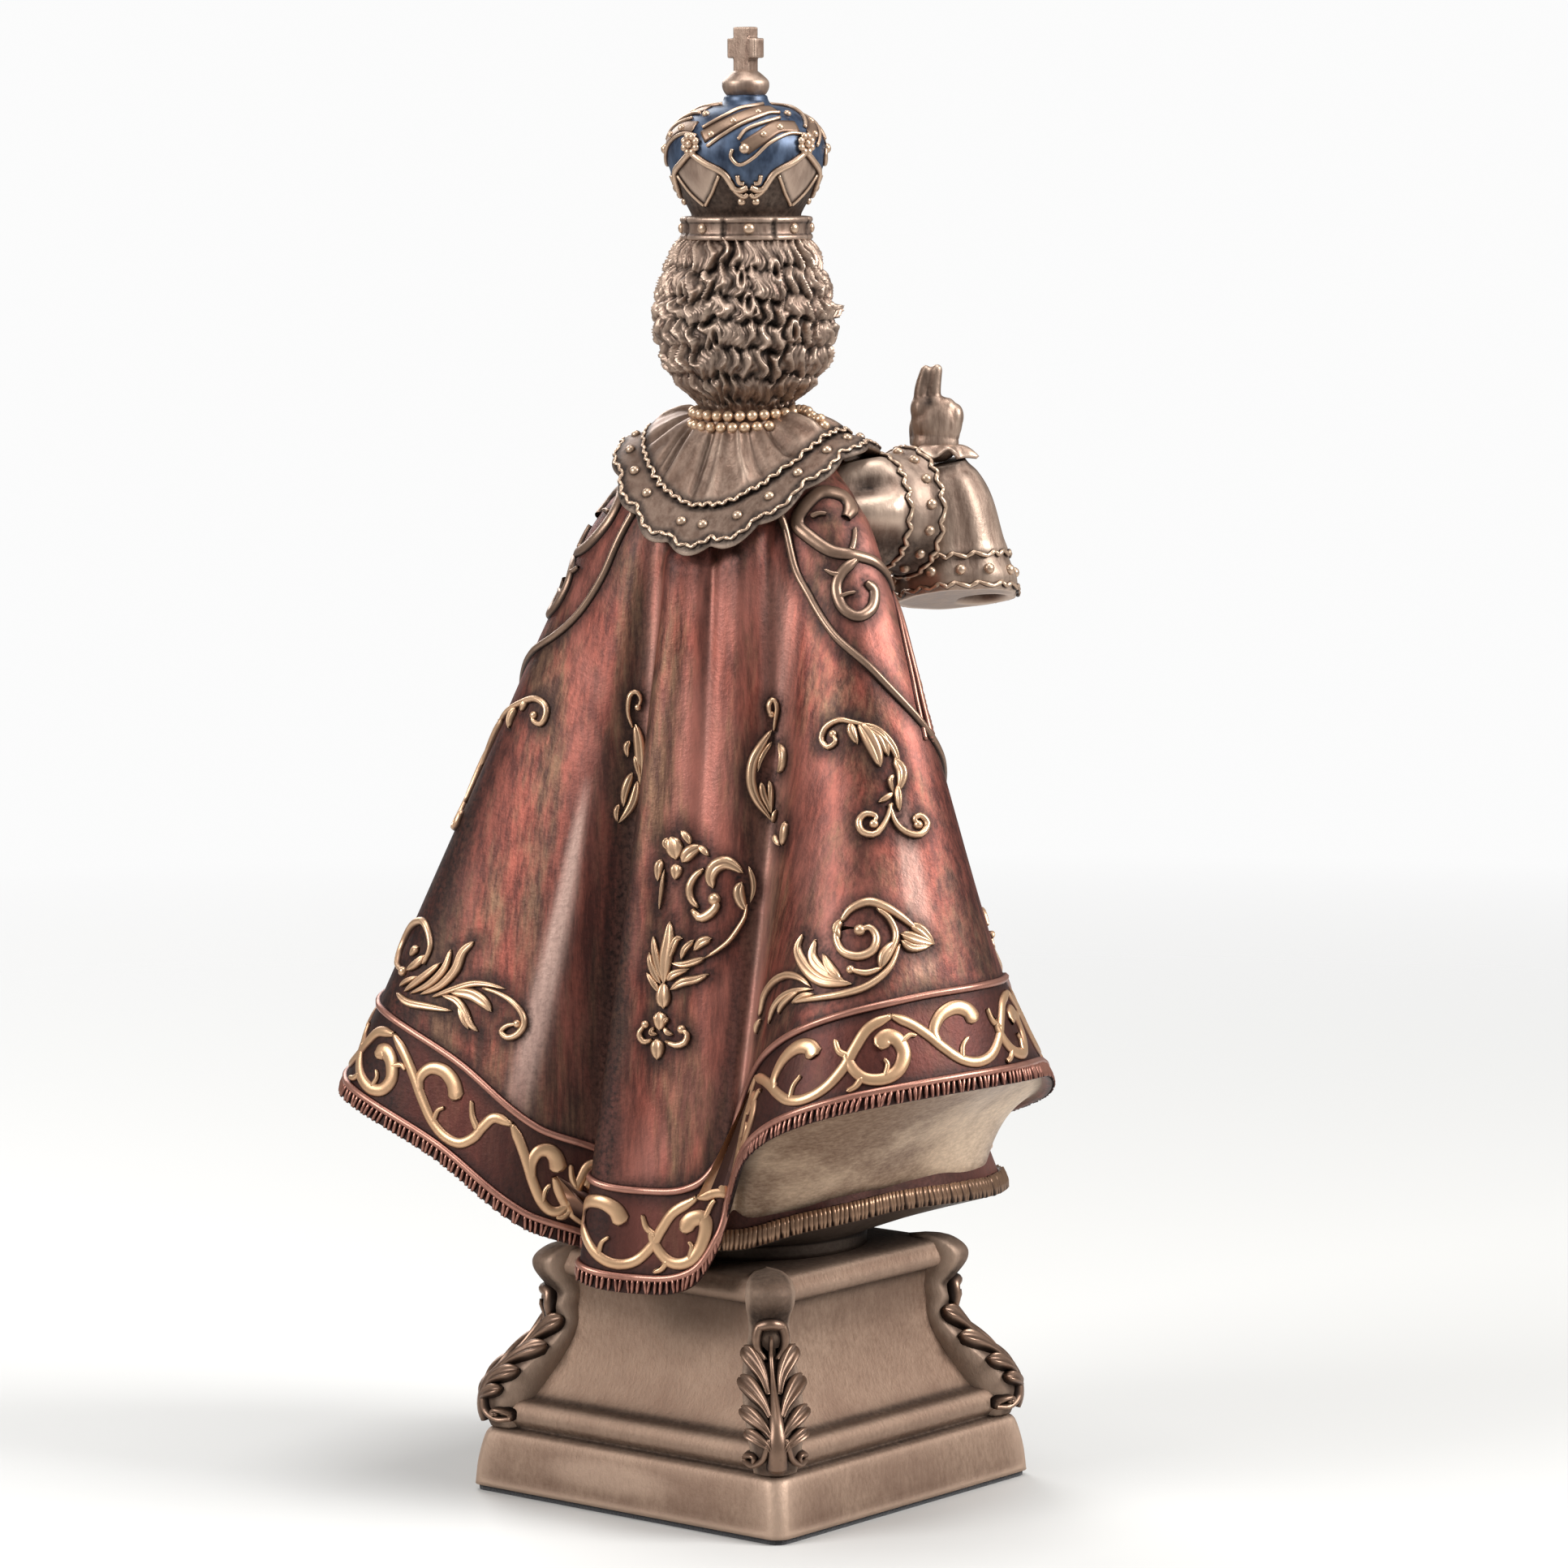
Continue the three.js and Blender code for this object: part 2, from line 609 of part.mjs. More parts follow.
// Fingers from a row of knuckles: reach is the way up, a curl of 1 bends the tip over the palm.
function fingers(root, reach, across, list) {
  return list.map(({ side, length, girth, curl }) => {
    const start = root.clone().addScaledVector(across, side);
    const bend = start.clone().addScaledVector(reach, length * 0.6);
    const palmward = reach.clone().cross(across).normalize();
    const onward = length * 0.4 * (1 - curl);
    const tip = bend.clone().addScaledVector(reach, onward).addScaledVector(palmward, curl * 3);
    const curve = new THREE.QuadraticBezierCurve3(start, bend, tip);
    return limb(curve, 5, [0, 0.5, 0.9, 1], rounded(girth, girth), () => palmward);
  });
}

function spot({ angle, radius, height }) {
  return around(angle, radius, height);
}

// The raised right hand: two fingers up, two curled, thumb in front, out of a ruffled cuff and bell sleeve.
function makeRightArm() {
  const palm = spot(arm.hand);
  const across = outward(arm.hand.angle);
  const palmward = up.clone().cross(across);
  const hand = mould(new THREE.SphereGeometry(1, 8, 6), (x, y, z) => palm.clone()
    .addScaledVector(across, x * arm.palmAcross)
    .addScaledVector(up, y * arm.palmTall)
    .addScaledVector(palmward, -z * arm.palmDeep));
  const knuckles = palm.clone().addScaledVector(up, arm.palmTall / 2);
  const raised = [
    { side: -3.4, length: 9.4, girth: 1.4, curl: 0 },
    { side: -0.7, length: 9.6, girth: 1.4, curl: 0 },
    { side: 1.9, length: 3.4, girth: 1.5, curl: 1 },
    { side: 4, length: 2.6, girth: 1.4, curl: 1 },
  ];
  const thumbRoot = palm.clone().addScaledVector(across, -arm.palmAcross / 2).addScaledVector(palmward, 2);
  const thumb = fingers(thumbRoot, up, across, [{ side: 0, length: 6, girth: 1.5, curl: 0.4 }]);
  const cuff = spot(arm.cuff);
  const elbow = spot(arm.elbow);
  const shoulder = spot(arm.shoulder);
  const outside = () => outward(arm.cuff.angle);
  const wrist = limb(new THREE.LineCurve3(cuff, palm), 8, [0, 1], () => [4.2, 3.2], outside);
  const forearm = new THREE.CatmullRomCurve3([
    spot(arm.mouth), elbow.clone().lerp(cuff, 0.35), elbow.clone().lerp(cuff, 0.75), cuff,
  ]);
  const sleeve = limb(forearm, 11, arm.bell.map(([s]) => s), (s) => {
    const girth = through(arm.bell, s);
    return [girth, girth * 0.95];
  }, outside);
  const upper = new THREE.CatmullRomCurve3([shoulder, shoulder.clone().lerp(elbow, 0.6), elbow]);
  const upperArm = limb(upper, 10, even(3), (s) => [through(arm.puff, s), through(arm.puff, s)], () => up);
  return [hand, ...fingers(knuckles, up, across, raised), ...thumb, wrist, sleeve, upperArm];
}

// The left arm, bent to hold the orb before the chest.
function makeLeftArm() {
  const middle = spot(orb);
  const elbow = spot(leftArm.elbow);
  const shoulder = spot(leftArm.shoulder);
  const wrist = middle.clone().lerp(elbow, leftArm.wristShare).setZ(orb.height - leftArm.wristDrop);
  const upper = new THREE.CatmullRomCurve3([shoulder, shoulder.clone().lerp(elbow, 0.5), elbow]);
  const lower = new THREE.CatmullRomCurve3([elbow, elbow.clone().lerp(wrist, 0.6), wrist]);
  const palm = middle.clone().addScaledVector(up, leftArm.palmSink - orb.size);
  const hand = mould(new THREE.SphereGeometry(1, 8, 6), (x, y, z) => palm.clone()
    .add(new THREE.Vector3(x * leftArm.palmAcross, z * leftArm.palmDeep, -y * leftArm.palmThick)));
  const grip = leftArm.fingers.map((angle) => {
    const start = palm.clone().add(around(angle, leftArm.knuckleReach, 0));
    const bend = palm.clone().add(around(angle, leftArm.fingerReach, 1));
    const tip = middle.clone().add(around(angle, orb.size, 0));
    const curve = new THREE.QuadraticBezierCurve3(start, bend, tip);
    const shape = rounded(leftArm.fingerGirth, leftArm.fingerGirth);
    return limb(curve, 5, [0, 0.5, 1], shape, () => outward(angle));
  });
  const half = orb.size;
  const rows = [[1, 0.12], [0.92, 0.4], [0.62, 0.78], [0.14, 0.99], [0.1, 1.1], [-0.1, 1.1], [-0.14, 0.99],
    [-0.62, 0.78], [-0.92, 0.4], [-1, 0.12]];
  const ring = (turn, [height, radius]) => around(turn, radius * half, height * half).add(middle);
  const globe = vessel(10, rows, ring, () => 0);
  const post = middle.clone().addScaledVector(up, orb.size + orbCross.lift);
  const bar = (wide, tall) => mould(new THREE.BoxGeometry(wide, orbCross.deep, tall), (x, y, z) => (
    new THREE.Vector3(x, y, z).add(post)
  ));
  const sleeveGirth = (s) => {
    const girth = THREE.MathUtils.lerp(leftArm.upperGirth - 1, leftArm.cuffGirth, s);
    return [girth, girth];
  };
  return [
    limb(upper, 8, even(3), () => [leftArm.upperGirth, leftArm.upperGirth], () => outward(120)),
    limb(lower, 8, even(3), sleeveGirth, () => up),
    hand, ...grip, globe, bar(orbCross.bar, orbCross.tall), bar(orbCross.across, orbCross.bar),
  ];
}

// Half-width of the plinth at each height above its underside.
const cushionLow = plinthHeight - cushionHeight;
const roll = { inset: 2.8, groove: 4, grooveLift: 0.6, tall: 5.9, creaseInset: 6.6, creaseLift: 6.9 };
const facing = waistWidth / 2;
const plinthProfile = [
  [plinthWidth / 2, 0], [plinthWidth / 2 - 0.5, slabHeight * 0.45],
  [plinthWidth / 2 - 1.6, slabHeight * 0.88], [plinthWidth / 2 - roll.inset, slabHeight],
  [plinthWidth / 2 - roll.groove, slabHeight + roll.grooveLift],
  [plinthWidth / 2 - roll.inset, slabHeight + roll.tall * 0.4],
  [plinthWidth / 2 - roll.inset, slabHeight + roll.tall * 0.7],
  [plinthWidth / 2 - roll.groove, slabHeight + roll.tall],
  [plinthWidth / 2 - roll.creaseInset, slabHeight + roll.creaseLift],
  [facing + 6, slabHeight + 10], [facing + 3.9, slabHeight + 14.5],
  [facing + 1.9, slabHeight + 20], [facing + 0.5, slabHeight + 26],
  [facing + 0.7, cushionLow], [cushionWidth / 2 - 0.8, cushionLow + 0.6],
  [cushionWidth / 2, cushionLow + 2.2], [cushionWidth / 2 - 0.7, cushionLow + 4.2],
  [(cushionWidth + seatWidth) / 4 + 0.9, plinthHeight - 0.6], [seatWidth / 2, plinthHeight],
];

// A point on a square with rounded corners; sixteen columns give four points to each corner.
function squarePoint(turn, half, corner, height) {
  const column = Math.round((turn + 180) / 22.5) % 16;
  const quarter = Math.floor(column / 4) * 90;
  const swing = radians(quarter + (column % 4) * 30);
  const middle = radians(quarter + 45);
  const inset = (half - corner) * Math.SQRT2;
  return new THREE.Vector3(
    -inset * Math.sin(middle) - corner * Math.sin(swing),
    -inset * Math.cos(middle) - corner * Math.cos(swing),
    height,
  );
}

function makePlinthBody() {
  const rows = [...plinthProfile].reverse();
  const place = (turn, [half, height]) => squarePoint(turn, half, slabCorner, height);
  return vessel(squareColumns, rows, place, ([, height]) => height);
}

// A corner console: a ball volute under the cushion, a small curl, and a leaf that spreads to the slab.
// Each row gives a share of the height, the outer edge's setback from the slab's corner, and a width.
const consoleRows = [
  [1, 17.5, 0.6], [0.95, 14.6, 0.68], [0.9, 14, 0.7], [0.81, 17.8, 0.42], [0.72, 16.8, 0.5],
  [0.63, 17.2, 0.45], [0.54, 15.8, 0.85], [0.45, 12.8, 1], [0.36, 8.8, 0.85], [0.27, 5.4, 1.03],
  [0.18, 3.5, 0.85], [0.085, 3.8, 1], [0, 5.1, 0.7],
];

function makeConsole(angle) {
  const low = slabHeight + consoleLift;
  const heightOf = ([share]) => THREE.MathUtils.lerp(low, plinthHeight, share);
  const corner = outward(angle).multiplyScalar(plinthWidth / Math.SQRT2);
  const aside = outward(angle + 90);
  const place = (turn, row) => {
    const [, setback, width] = row;
    const inward = setback + consoleDeep * (1 - Math.cos(radians(turn)));
    const across = Math.sin(radians(turn)) * width * consoleWidth / 2;
    const outer = corner.clone().addScaledVector(outward(angle), -inward);
    return outer.addScaledVector(aside, across).setZ(heightOf(row));
  };
  return vessel(consoleSides, consoleRows, place, heightOf, corner.clone().multiplyScalar(consoleCore));
}

function makePlinth() {
  return [makePlinthBody(), ...[45, 135, 225, 315].map(makeConsole)];
}

function makeFelt() {
  const half = plinthWidth / 2 - feltInset;
  const corner = slabCorner - feltInset;
  const place = (turn, height) => squarePoint(turn, half, corner, height);
  return vessel(squareColumns, [feltThickness, 0], place, (height) => height);
}

function meshOf(name, solid, material) {
  const { vertProperties, triVerts } = solid.getMesh();
  const geometry = new THREE.BufferGeometry();
  geometry.setAttribute("position", new THREE.BufferAttribute(vertProperties, 3));
  geometry.setIndex(new THREE.BufferAttribute(triVerts, 1));
  const mesh = new THREE.Mesh(geometry, new THREE.MeshStandardMaterial(material));
  mesh.name = name;
  return mesh;
}

const figureSolid = join([
  makeCape(), makeTunic(), ...makeYoke(), ...makeRelief(), makeCollar(), makeNecklace(), makeHair(),
  ...makeFace(), ...makeCrown(), ...makeRightArm(), ...makeLeftArm(),
]);
const figure = meshOf("figure", figureSolid, { color: 0x8c4f43, roughness: 0.45, metalness: 0.6 });
figure.scale.setScalar(figureHeight / carvedHeight);
figure.position.z = feltThickness + plinthHeight;

const plinth = meshOf("plinth", join(makePlinth()), { color: 0x8f7863, roughness: 0.42, metalness: 0.75 });
plinth.position.z = feltThickness;

const felt = meshOf("felt_pad", makeFelt(), { color: 0x2b2b2e, roughness: 0.95, metalness: 0 });

const statue = new THREE.Group();
statue.add(figure, plinth, felt);

export default statue;
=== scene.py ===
import math
import bmesh
import bpy
import numpy as np
from mathutils import Matrix, Vector, kdtree


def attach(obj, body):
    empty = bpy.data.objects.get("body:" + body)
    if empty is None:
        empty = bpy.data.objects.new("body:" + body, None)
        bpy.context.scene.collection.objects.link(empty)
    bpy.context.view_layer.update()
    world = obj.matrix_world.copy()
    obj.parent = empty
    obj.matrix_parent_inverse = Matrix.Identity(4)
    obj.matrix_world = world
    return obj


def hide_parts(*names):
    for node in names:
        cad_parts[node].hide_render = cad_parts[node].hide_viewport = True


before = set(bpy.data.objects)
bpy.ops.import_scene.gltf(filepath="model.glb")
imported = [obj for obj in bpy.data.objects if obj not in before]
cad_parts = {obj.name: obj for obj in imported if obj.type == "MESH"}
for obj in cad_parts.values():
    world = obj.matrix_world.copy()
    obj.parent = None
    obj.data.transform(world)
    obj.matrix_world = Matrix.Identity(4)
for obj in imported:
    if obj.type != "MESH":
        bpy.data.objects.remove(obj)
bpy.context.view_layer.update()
print("frame loaded")

# Everything is worked out in millimetres from the middle of the felt's underside, and scaled at
# the end. Plan angles go round from the middle of the back, positive to the child's left.
millimetre = 0.001
weld = 0.004             # points closer than this become one
seat = 51.0              # top of the plinth
backAngle = -15          # the way the back of the robe looks
faceAngle = 183          # the way the face looks
viewTurn = 219.768       # the way the camera looks


# Shapes

def sine(angle):
    return np.sin(np.radians(angle))


def cosine(angle):
    return np.cos(np.radians(angle))


def around(angle, radius, height):
    angle, radius, height = np.broadcast_arrays(*(np.asarray(a, float) for a in (angle, radius, height)))
    return np.stack([radius * sine(angle), radius * cosine(angle), height], -1)


def outward(angle):
    return around(angle, 1, 0)


up = np.array([0, 0, 1.0])


def blend(a, b, share):
    return a + (b - a) * share


def step(low, high, x):
    t = np.clip((np.asarray(x, float) - low) / (high - low), 0, 1)
    return t * t * (3 - 2 * t)


def hump(x, centre, width):
    return np.exp(-((np.asarray(x, float) - centre) / width) ** 2)


def apart(angle, other):
    return (np.asarray(angle, float) - other + 180) % 360 - 180


# Smooth line through stations (x, value), level beyond its ends.
def through(stations, x):
    xs, ys = np.array(sorted(stations, key=lambda pair: pair[0]), float).T
    last = len(xs) - 1
    near, far = np.maximum(np.arange(last + 1) - 1, 0), np.minimum(np.arange(last + 1) + 1, last)
    slope = (ys[far] - ys[near]) / (xs[far] - xs[near])
    at = np.clip(np.asarray(x, float), xs[0], xs[-1])
    i = np.clip(np.searchsorted(xs, at) - 1, 0, last - 1)
    span = xs[i + 1] - xs[i]
    s = (at - xs[i]) / span
    rise = slope[i] * span * s * (1 - s) ** 2 - slope[i + 1] * span * s * s * (1 - s)
    return ys[i] + (ys[i + 1] - ys[i]) * s * s * (3 - 2 * s) + rise


# Smooth path through a few flat or solid points, at shares 0 to 1 of its way.
def path(points, share):
    points = np.array(points, float)
    stops = np.linspace(0, 1, len(points))
    return np.stack([through(np.stack([stops, column], 1), share) for column in points.T], -1)


def unit(v):
    return v / np.maximum(np.linalg.norm(v, axis=-1, keepdims=True), 1e-9)


# The way a surface looks, where point(angle, other) gives its places and a step in other goes down.
def looks(point, angle, other, down):
    along = point(angle + 0.5, other) - point(angle - 0.5, other)
    return unit(np.cross(along, point(angle, other + down) - point(angle, other - down)))


def layerOf(bm, name):
    return bm.verts.layers.float.get(name) or bm.verts.layers.float.new(name)


# Lays a grid of columns by rows on place(u, v), which gives the points and any marks to keep.
def lattice(bm, columns, rows, place, **marks):
    layers = {name: layerOf(bm, name) for name in marks}
    made = bmesh.ops.create_grid(bm, x_segments=columns, y_segments=rows, size=0.5)["verts"]
    flat = np.array([v.co[:2] for v in made]) + 0.5
    points = place(flat[:, 0], flat[:, 1])
    for v, p in zip(made, points):
        v.co = p
    for name, mark in marks.items():
        layer = layers[name]
        values = np.broadcast_to(mark(flat[:, 0], flat[:, 1]), len(made))
        for v, value in zip(made, values):
            v[layer] = value
    return made


# The outline of a raised stroke, from one foot over the crest to the other: across, and height.
strokeSection = [(-1, -0.5), (-0.98, 0.15), (-0.8, 0.6), (-0.4, 0.93), (0, 1), (0.4, 0.93), (0.8, 0.6),
                 (0.98, 0.15), (1, -0.5)]
roundSection = [(cosine(a), sine(a)) for a in range(270, -91, -45)]
flatSection = [(-1, -0.5), (-0.97, 0.3), (-0.6, 0.45), (0, 0.5), (0.6, 0.45), (0.97, 0.3), (1, -0.5)]
leafSection = [(-1, -0.5), (-0.95, 0.35), (-0.6, 0.85), (-0.28, 1), (0, 0.55), (0.28, 1), (0.6, 0.85),
               (0.95, 0.35), (1, -0.5)]


# A raised stroke along a path of points, with normals off the surface and half-widths and heights.
def stroke(bm, points, normals, wide, high, section=strokeSection, loop=False):
    points = np.asarray(points, float)
    along = np.gradient(points, axis=0)
    if loop:
        along[0] = along[-1] = points[1] - points[-2]
    normals = unit(normals - unit(along) * np.sum(normals * unit(along), -1, keepdims=True))
    side = unit(np.cross(along, normals))
    count = len(points) - 1
    wide = np.broadcast_to(wide, count + 1)
    high = np.broadcast_to(high, count + 1)
    outline = np.array(section, float)
    last = len(outline) - 1

    def place(u, v):
        i = np.rint(v * count).astype(int)
        k = np.rint(u * last).astype(int)
        across, rise = outline[k].T
        return points[i] + side[i] * (wide[i] * across)[:, None] + normals[i] * (high[i] * rise)[:, None]

    def crest(u, v):
        k = np.rint(u * last).astype(int)
        return np.clip(outline[k, 1], 0, 1)

    lattice(bm, last, count, place, rise=crest)


# A tube along a path: girth(s) gives its half-width and half-depth, facing the way its depth looks.
def tube(bm, route, sides, rows, girth, facing, ripple, **marks):
    stops = np.linspace(0, 1, rows + 1)
    centre = route(stops)
    along = unit(np.gradient(centre, axis=0))
    facing = np.broadcast_to(facing, centre.shape)
    across = unit(np.cross(facing, along))
    out = np.cross(along, across)
    size = np.array([np.broadcast_to(g, stops.shape) for g in girth(stops)])

    def place(u, v):
        i = np.rint(v * rows).astype(int)
        turn = 360 * u
        swell = ripple(turn, stops[i])
        return (centre[i] + across[i] * (size[0, i] * cosine(turn) * swell)[:, None]
                + out[i] * (size[1, i] * sine(turn) * swell)[:, None])

    lattice(bm, sides, rows, place, **marks)
    return centre, across, out, size


def ball(bm, at, radius, squash=(1, 1, 1), detail=2):
    layer = layerOf(bm, "rise")
    made = bmesh.ops.create_icosphere(bm, subdivisions=detail, radius=radius)["verts"]
    bmesh.ops.scale(bm, vec=squash, verts=made)
    bmesh.ops.translate(bm, vec=Vector(at), verts=made)
    for v in made:
        v[layer] = 0.85
    return made


def block(bm, at, size):
    made = bmesh.ops.create_cube(bm, size=1)["verts"]
    bmesh.ops.scale(bm, vec=size, verts=made)
    bmesh.ops.translate(bm, vec=at, verts=made)


# A ball flattened against a surface that looks along a normal.
def stud(bm, at, normal, radius, high=0.8, detail=2):
    made = ball(bm, (0, 0, 0), radius, (1, 1, high), detail)
    turned = Vector(normal).to_track_quat("Z", "Y").to_matrix()
    bmesh.ops.transform(bm, matrix=Matrix.Translation(Vector(at)) @ turned.to_4x4(), verts=made)
    return made


# How far each point lies below its surroundings, in millimetres, kept for the patina, and on the robe for its
# painted fold shade and highlights.
def weather(mesh, **reaches):
    count, edgeCount = len(mesh.vertices), len(mesh.edges)
    at, normal, ends = np.empty(count * 3), np.empty(count * 3), np.empty(edgeCount * 2, int)
    mesh.vertices.foreach_get("co", at)
    mesh.vertex_normals.foreach_get("vector", normal)
    mesh.edges.foreach_get("vertices", ends)
    at, normal = at.reshape(-1, 3) / millimetre, normal.reshape(-1, 3)
    one, other = ends.reshape(-1, 2).T
    near = np.bincount(one, minlength=count) + np.bincount(other, minlength=count)

    def relax(values):
        total = np.bincount(one, values[other], count) + np.bincount(other, values[one], count)
        return total / np.maximum(near, 1)

    for name, passes in reaches.items():
        soft = at.copy()
        for _ in range(passes):
            soft = np.stack([relax(soft[:, k]) for k in range(3)], 1)
        deep = np.sum((soft - at) * normal, 1)
        for _ in range(2):
            deep = relax(deep)
        mesh.attributes.new(name, "FLOAT", "POINT").data.foreach_set("value", deep.astype(np.float32))


# Welds a mesh, caps its rims, turns its faces outwards and hands it over by name.
def finished(name, bm, scale=1):
    bmesh.ops.remove_doubles(bm, verts=bm.verts, dist=weld)
    rims = [e for e in bm.edges if e.is_boundary]
    if rims:
        bmesh.ops.holes_fill(bm, edges=rims, sides=0)
    bmesh.ops.recalc_face_normals(bm, faces=bm.faces)
    bmesh.ops.scale(bm, vec=(scale,) * 3, verts=bm.verts)
    for face in bm.faces:
        face.smooth = True
    mesh = bpy.data.meshes.new(name)
    bm.to_mesh(mesh)
    bm.free()
    return mesh


def show(name, data):
    made = bpy.data.objects.new(name, data)
    bpy.context.scene.collection.objects.link(made)
    return made


# One piece of the statue from its mesh in millimetres, with its patina marks, which on the robe also set
# painted fold shade and highlights.
def makePiece(name, bm, material, nodes=(), slot="bronze_red", **reaches):
    mesh = finished(name, bm, millimetre)
    made = show(name, mesh)
    mesh.materials.append(material)
    weather(mesh, **(reaches or {"hollow": 6}))
    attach(made, "root")
    if nodes:
        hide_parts(*nodes)
    print("made", name, len(mesh.polygons))
    return made


# Melts overlapping closed shapes into one skin and eases it.
def fuse(bm, voxel, easing):
    rough = finished("rough", bm)
    helper = show("helper", rough)
    melt = helper.modifiers.new("melt", "REMESH")
    melt.mode = "VOXEL"
    melt.voxel_size = voxel
    melt.adaptivity = 0
    soften = helper.modifiers.new("soften", "SMOOTH")
    soften.factor = 0.5
    soften.iterations = easing
    shown = bpy.data.meshes.new_from_object(helper.evaluated_get(bpy.context.evaluated_depsgraph_get()))
    bpy.data.objects.remove(helper)
    melted = bmesh.new()
    melted.from_mesh(shown)
    bpy.data.meshes.remove(shown)
    bpy.data.meshes.remove(rough)
    return melted


# Darkens a piece round the points of what lies on it.
def shadeRound(made, points, reach, name, touch=0.9):
    tree = kdtree.KDTree(len(points))
    for i, p in enumerate(points):
        tree.insert(Vector(p), i)
    tree.balance()
    if name not in made.data.attributes:
        made.data.attributes.new(name, "FLOAT", "POINT")
    marks = made.data.attributes[name].data
    shade = np.empty(len(marks), np.float32)
    marks.foreach_get("value", shade)
    for i, v in enumerate(made.data.vertices):
        far = tree.find(v.co / millimetre)[2]
        shade[i] = max(shade[i], 1 - min(1, max(0, far - touch) / reach))
    marks.foreach_set("value", shade)


# A cord that follows a line of points in an uneven zigzag.
def zigzag(bm, points, normals, size, wave, count, loop=True):
    share = np.linspace(0, 2 * np.pi * count, len(points))
    share = share + 0.9 * np.sin(share / count * 5) + 0.5 * np.sin(share / count * 13 + 1)
    side = unit(np.cross(np.gradient(points, axis=0), normals))
    points = points + side * (wave * np.arcsin(np.sin(share)) / 1.57)[:, None]
    girth = size * (1 + 0.16 * np.sin(share * 2 + 0.6))
    stroke(bm, points, normals, girth, girth * 1.1, roundSection, loop=loop)


# Finishes

# A socket that takes part in sums, so that shader maths reads as an expression.
class Wire:
    def __init__(self, paint, socket):
        self.paint = paint
        self.socket = socket

    def sum(self, operation, first, second):
        return self.paint.node("ShaderNodeMath", {"operation": operation}, {0: first, 1: second})

    # 0 below low, 1 above high
    def between(self, low, high):
        values = {"Value": self, "From Min": low, "From Max": high}
        return self.paint.node("ShaderNodeMapRange", {"clamp": True}, values)

    def most(self, other):
        return self.sum("MAXIMUM", self, other)


for mark, operation in (("add", "ADD"), ("sub", "SUBTRACT"), ("mul", "MULTIPLY")):
    setattr(Wire, f"__{mark}__", lambda self, other, kind=operation: self.sum(kind, self, other))
    setattr(Wire, f"__r{mark}__", lambda self, other, kind=operation: self.sum(kind, other, self))


# A colour told from 0 to 255, as a picture program does, in Blender's linear terms.
def tint(colour):
    shares = [value / 255 for value in colour]
    return [share / 12.92 if share <= 0.04045 else ((share + 0.055) / 1.055) ** 2.4 for share in shares] + [1]


class Paint:
    def __init__(self, name, **constants):
        self.material = bpy.data.materials.new(name)
        self.material.use_nodes = True
        self.tree = self.material.node_tree
        self.tree.nodes.clear()
        constants = {key.replace("_", " "): value for key, value in constants.items()}
        self.shader = self.make("ShaderNodeBsdfPrincipled", {}, constants)
        self.make("ShaderNodeOutputMaterial", {}, {"Surface": self.shader.outputs[0]})
        self.place = self.node("ShaderNodeTexCoord", {}, {}, "Object")

    def make(self, kind, settings, values):
        made = self.tree.nodes.new(kind)
        for key, value in settings.items():
            setattr(made, key, value)
        for key, value in values.items():
            socket = made.inputs[key]
            if isinstance(value, Wire):
                self.tree.links.new(value.socket, socket)
            elif isinstance(value, bpy.types.NodeSocket):
                self.tree.links.new(value, socket)
            else:
                socket.default_value = value
        return made

    def node(self, kind, settings, values, out=0):
        return Wire(self, self.make(kind, settings, values).outputs[out])

    def mark(self, name):
        return self.node("ShaderNodeAttribute", {"attribute_name": name}, {}, "Fac")

    # Noise with a grain that may be drawn out: stretch is its scale a metre along x, y and z.
    def noise(self, stretch, detail=4, rough=0.6):
        moved = self.node("ShaderNodeMapping", {}, {"Vector": self.place, "Scale": stretch})
        values = {"Vector": moved, "Scale": 1.0, "Detail": detail, "Roughness": rough}
        return self.node("ShaderNodeTexNoise", {}, values, "Fac")

    def mix(self, share, low, high):
        made = self.make("ShaderNodeMix", {"data_type": "RGBA"}, {"Factor": share})
        for socket, value in (("A_Color", low), ("B_Color", high)):
            entry = next(s for s in made.inputs if s.identifier == socket)
            if isinstance(value, Wire):
                self.tree.links.new(value.socket, entry)
            else:
                entry.default_value = tint(value)
        return Wire(self, next(s for s in made.outputs if s.identifier == "Result_Color"))

    def bump(self, height, depth, strength):
        return self.node("ShaderNodeBump", {}, {"Height": height, "Distance": depth, "Strength": strength})

    def wear(self, **channels):
        for key, value in channels.items():
            self.tree.links.new(value.socket, self.shader.inputs[key.replace("_", " ")])
        return self.material


bronzeTones = {"mid": (134, 110, 96), "light": (206, 182, 163), "dark": (38, 29, 25), "warm": (106, 80, 66)}


# Cast bronze colour: brushed mid tone, dark in the hollows, bright on what stands proud.
def bronzeCoat(paint, tones, streak, hollow, crest, brushed):
    grain = paint.noise(streak, 3, 0.7).between(0.35, 0.68)
    cloud = paint.noise((60, 60, 60), 3).between(0.35, 0.65)
    body = paint.mix(grain * brushed, tones["mid"], tones["light"])
    body = paint.mix(cloud * 0.5, body, tones["warm"])
    body = paint.mix(crest, body, tones["light"])
    return paint.mix(hollow, body, tones["dark"]), grain


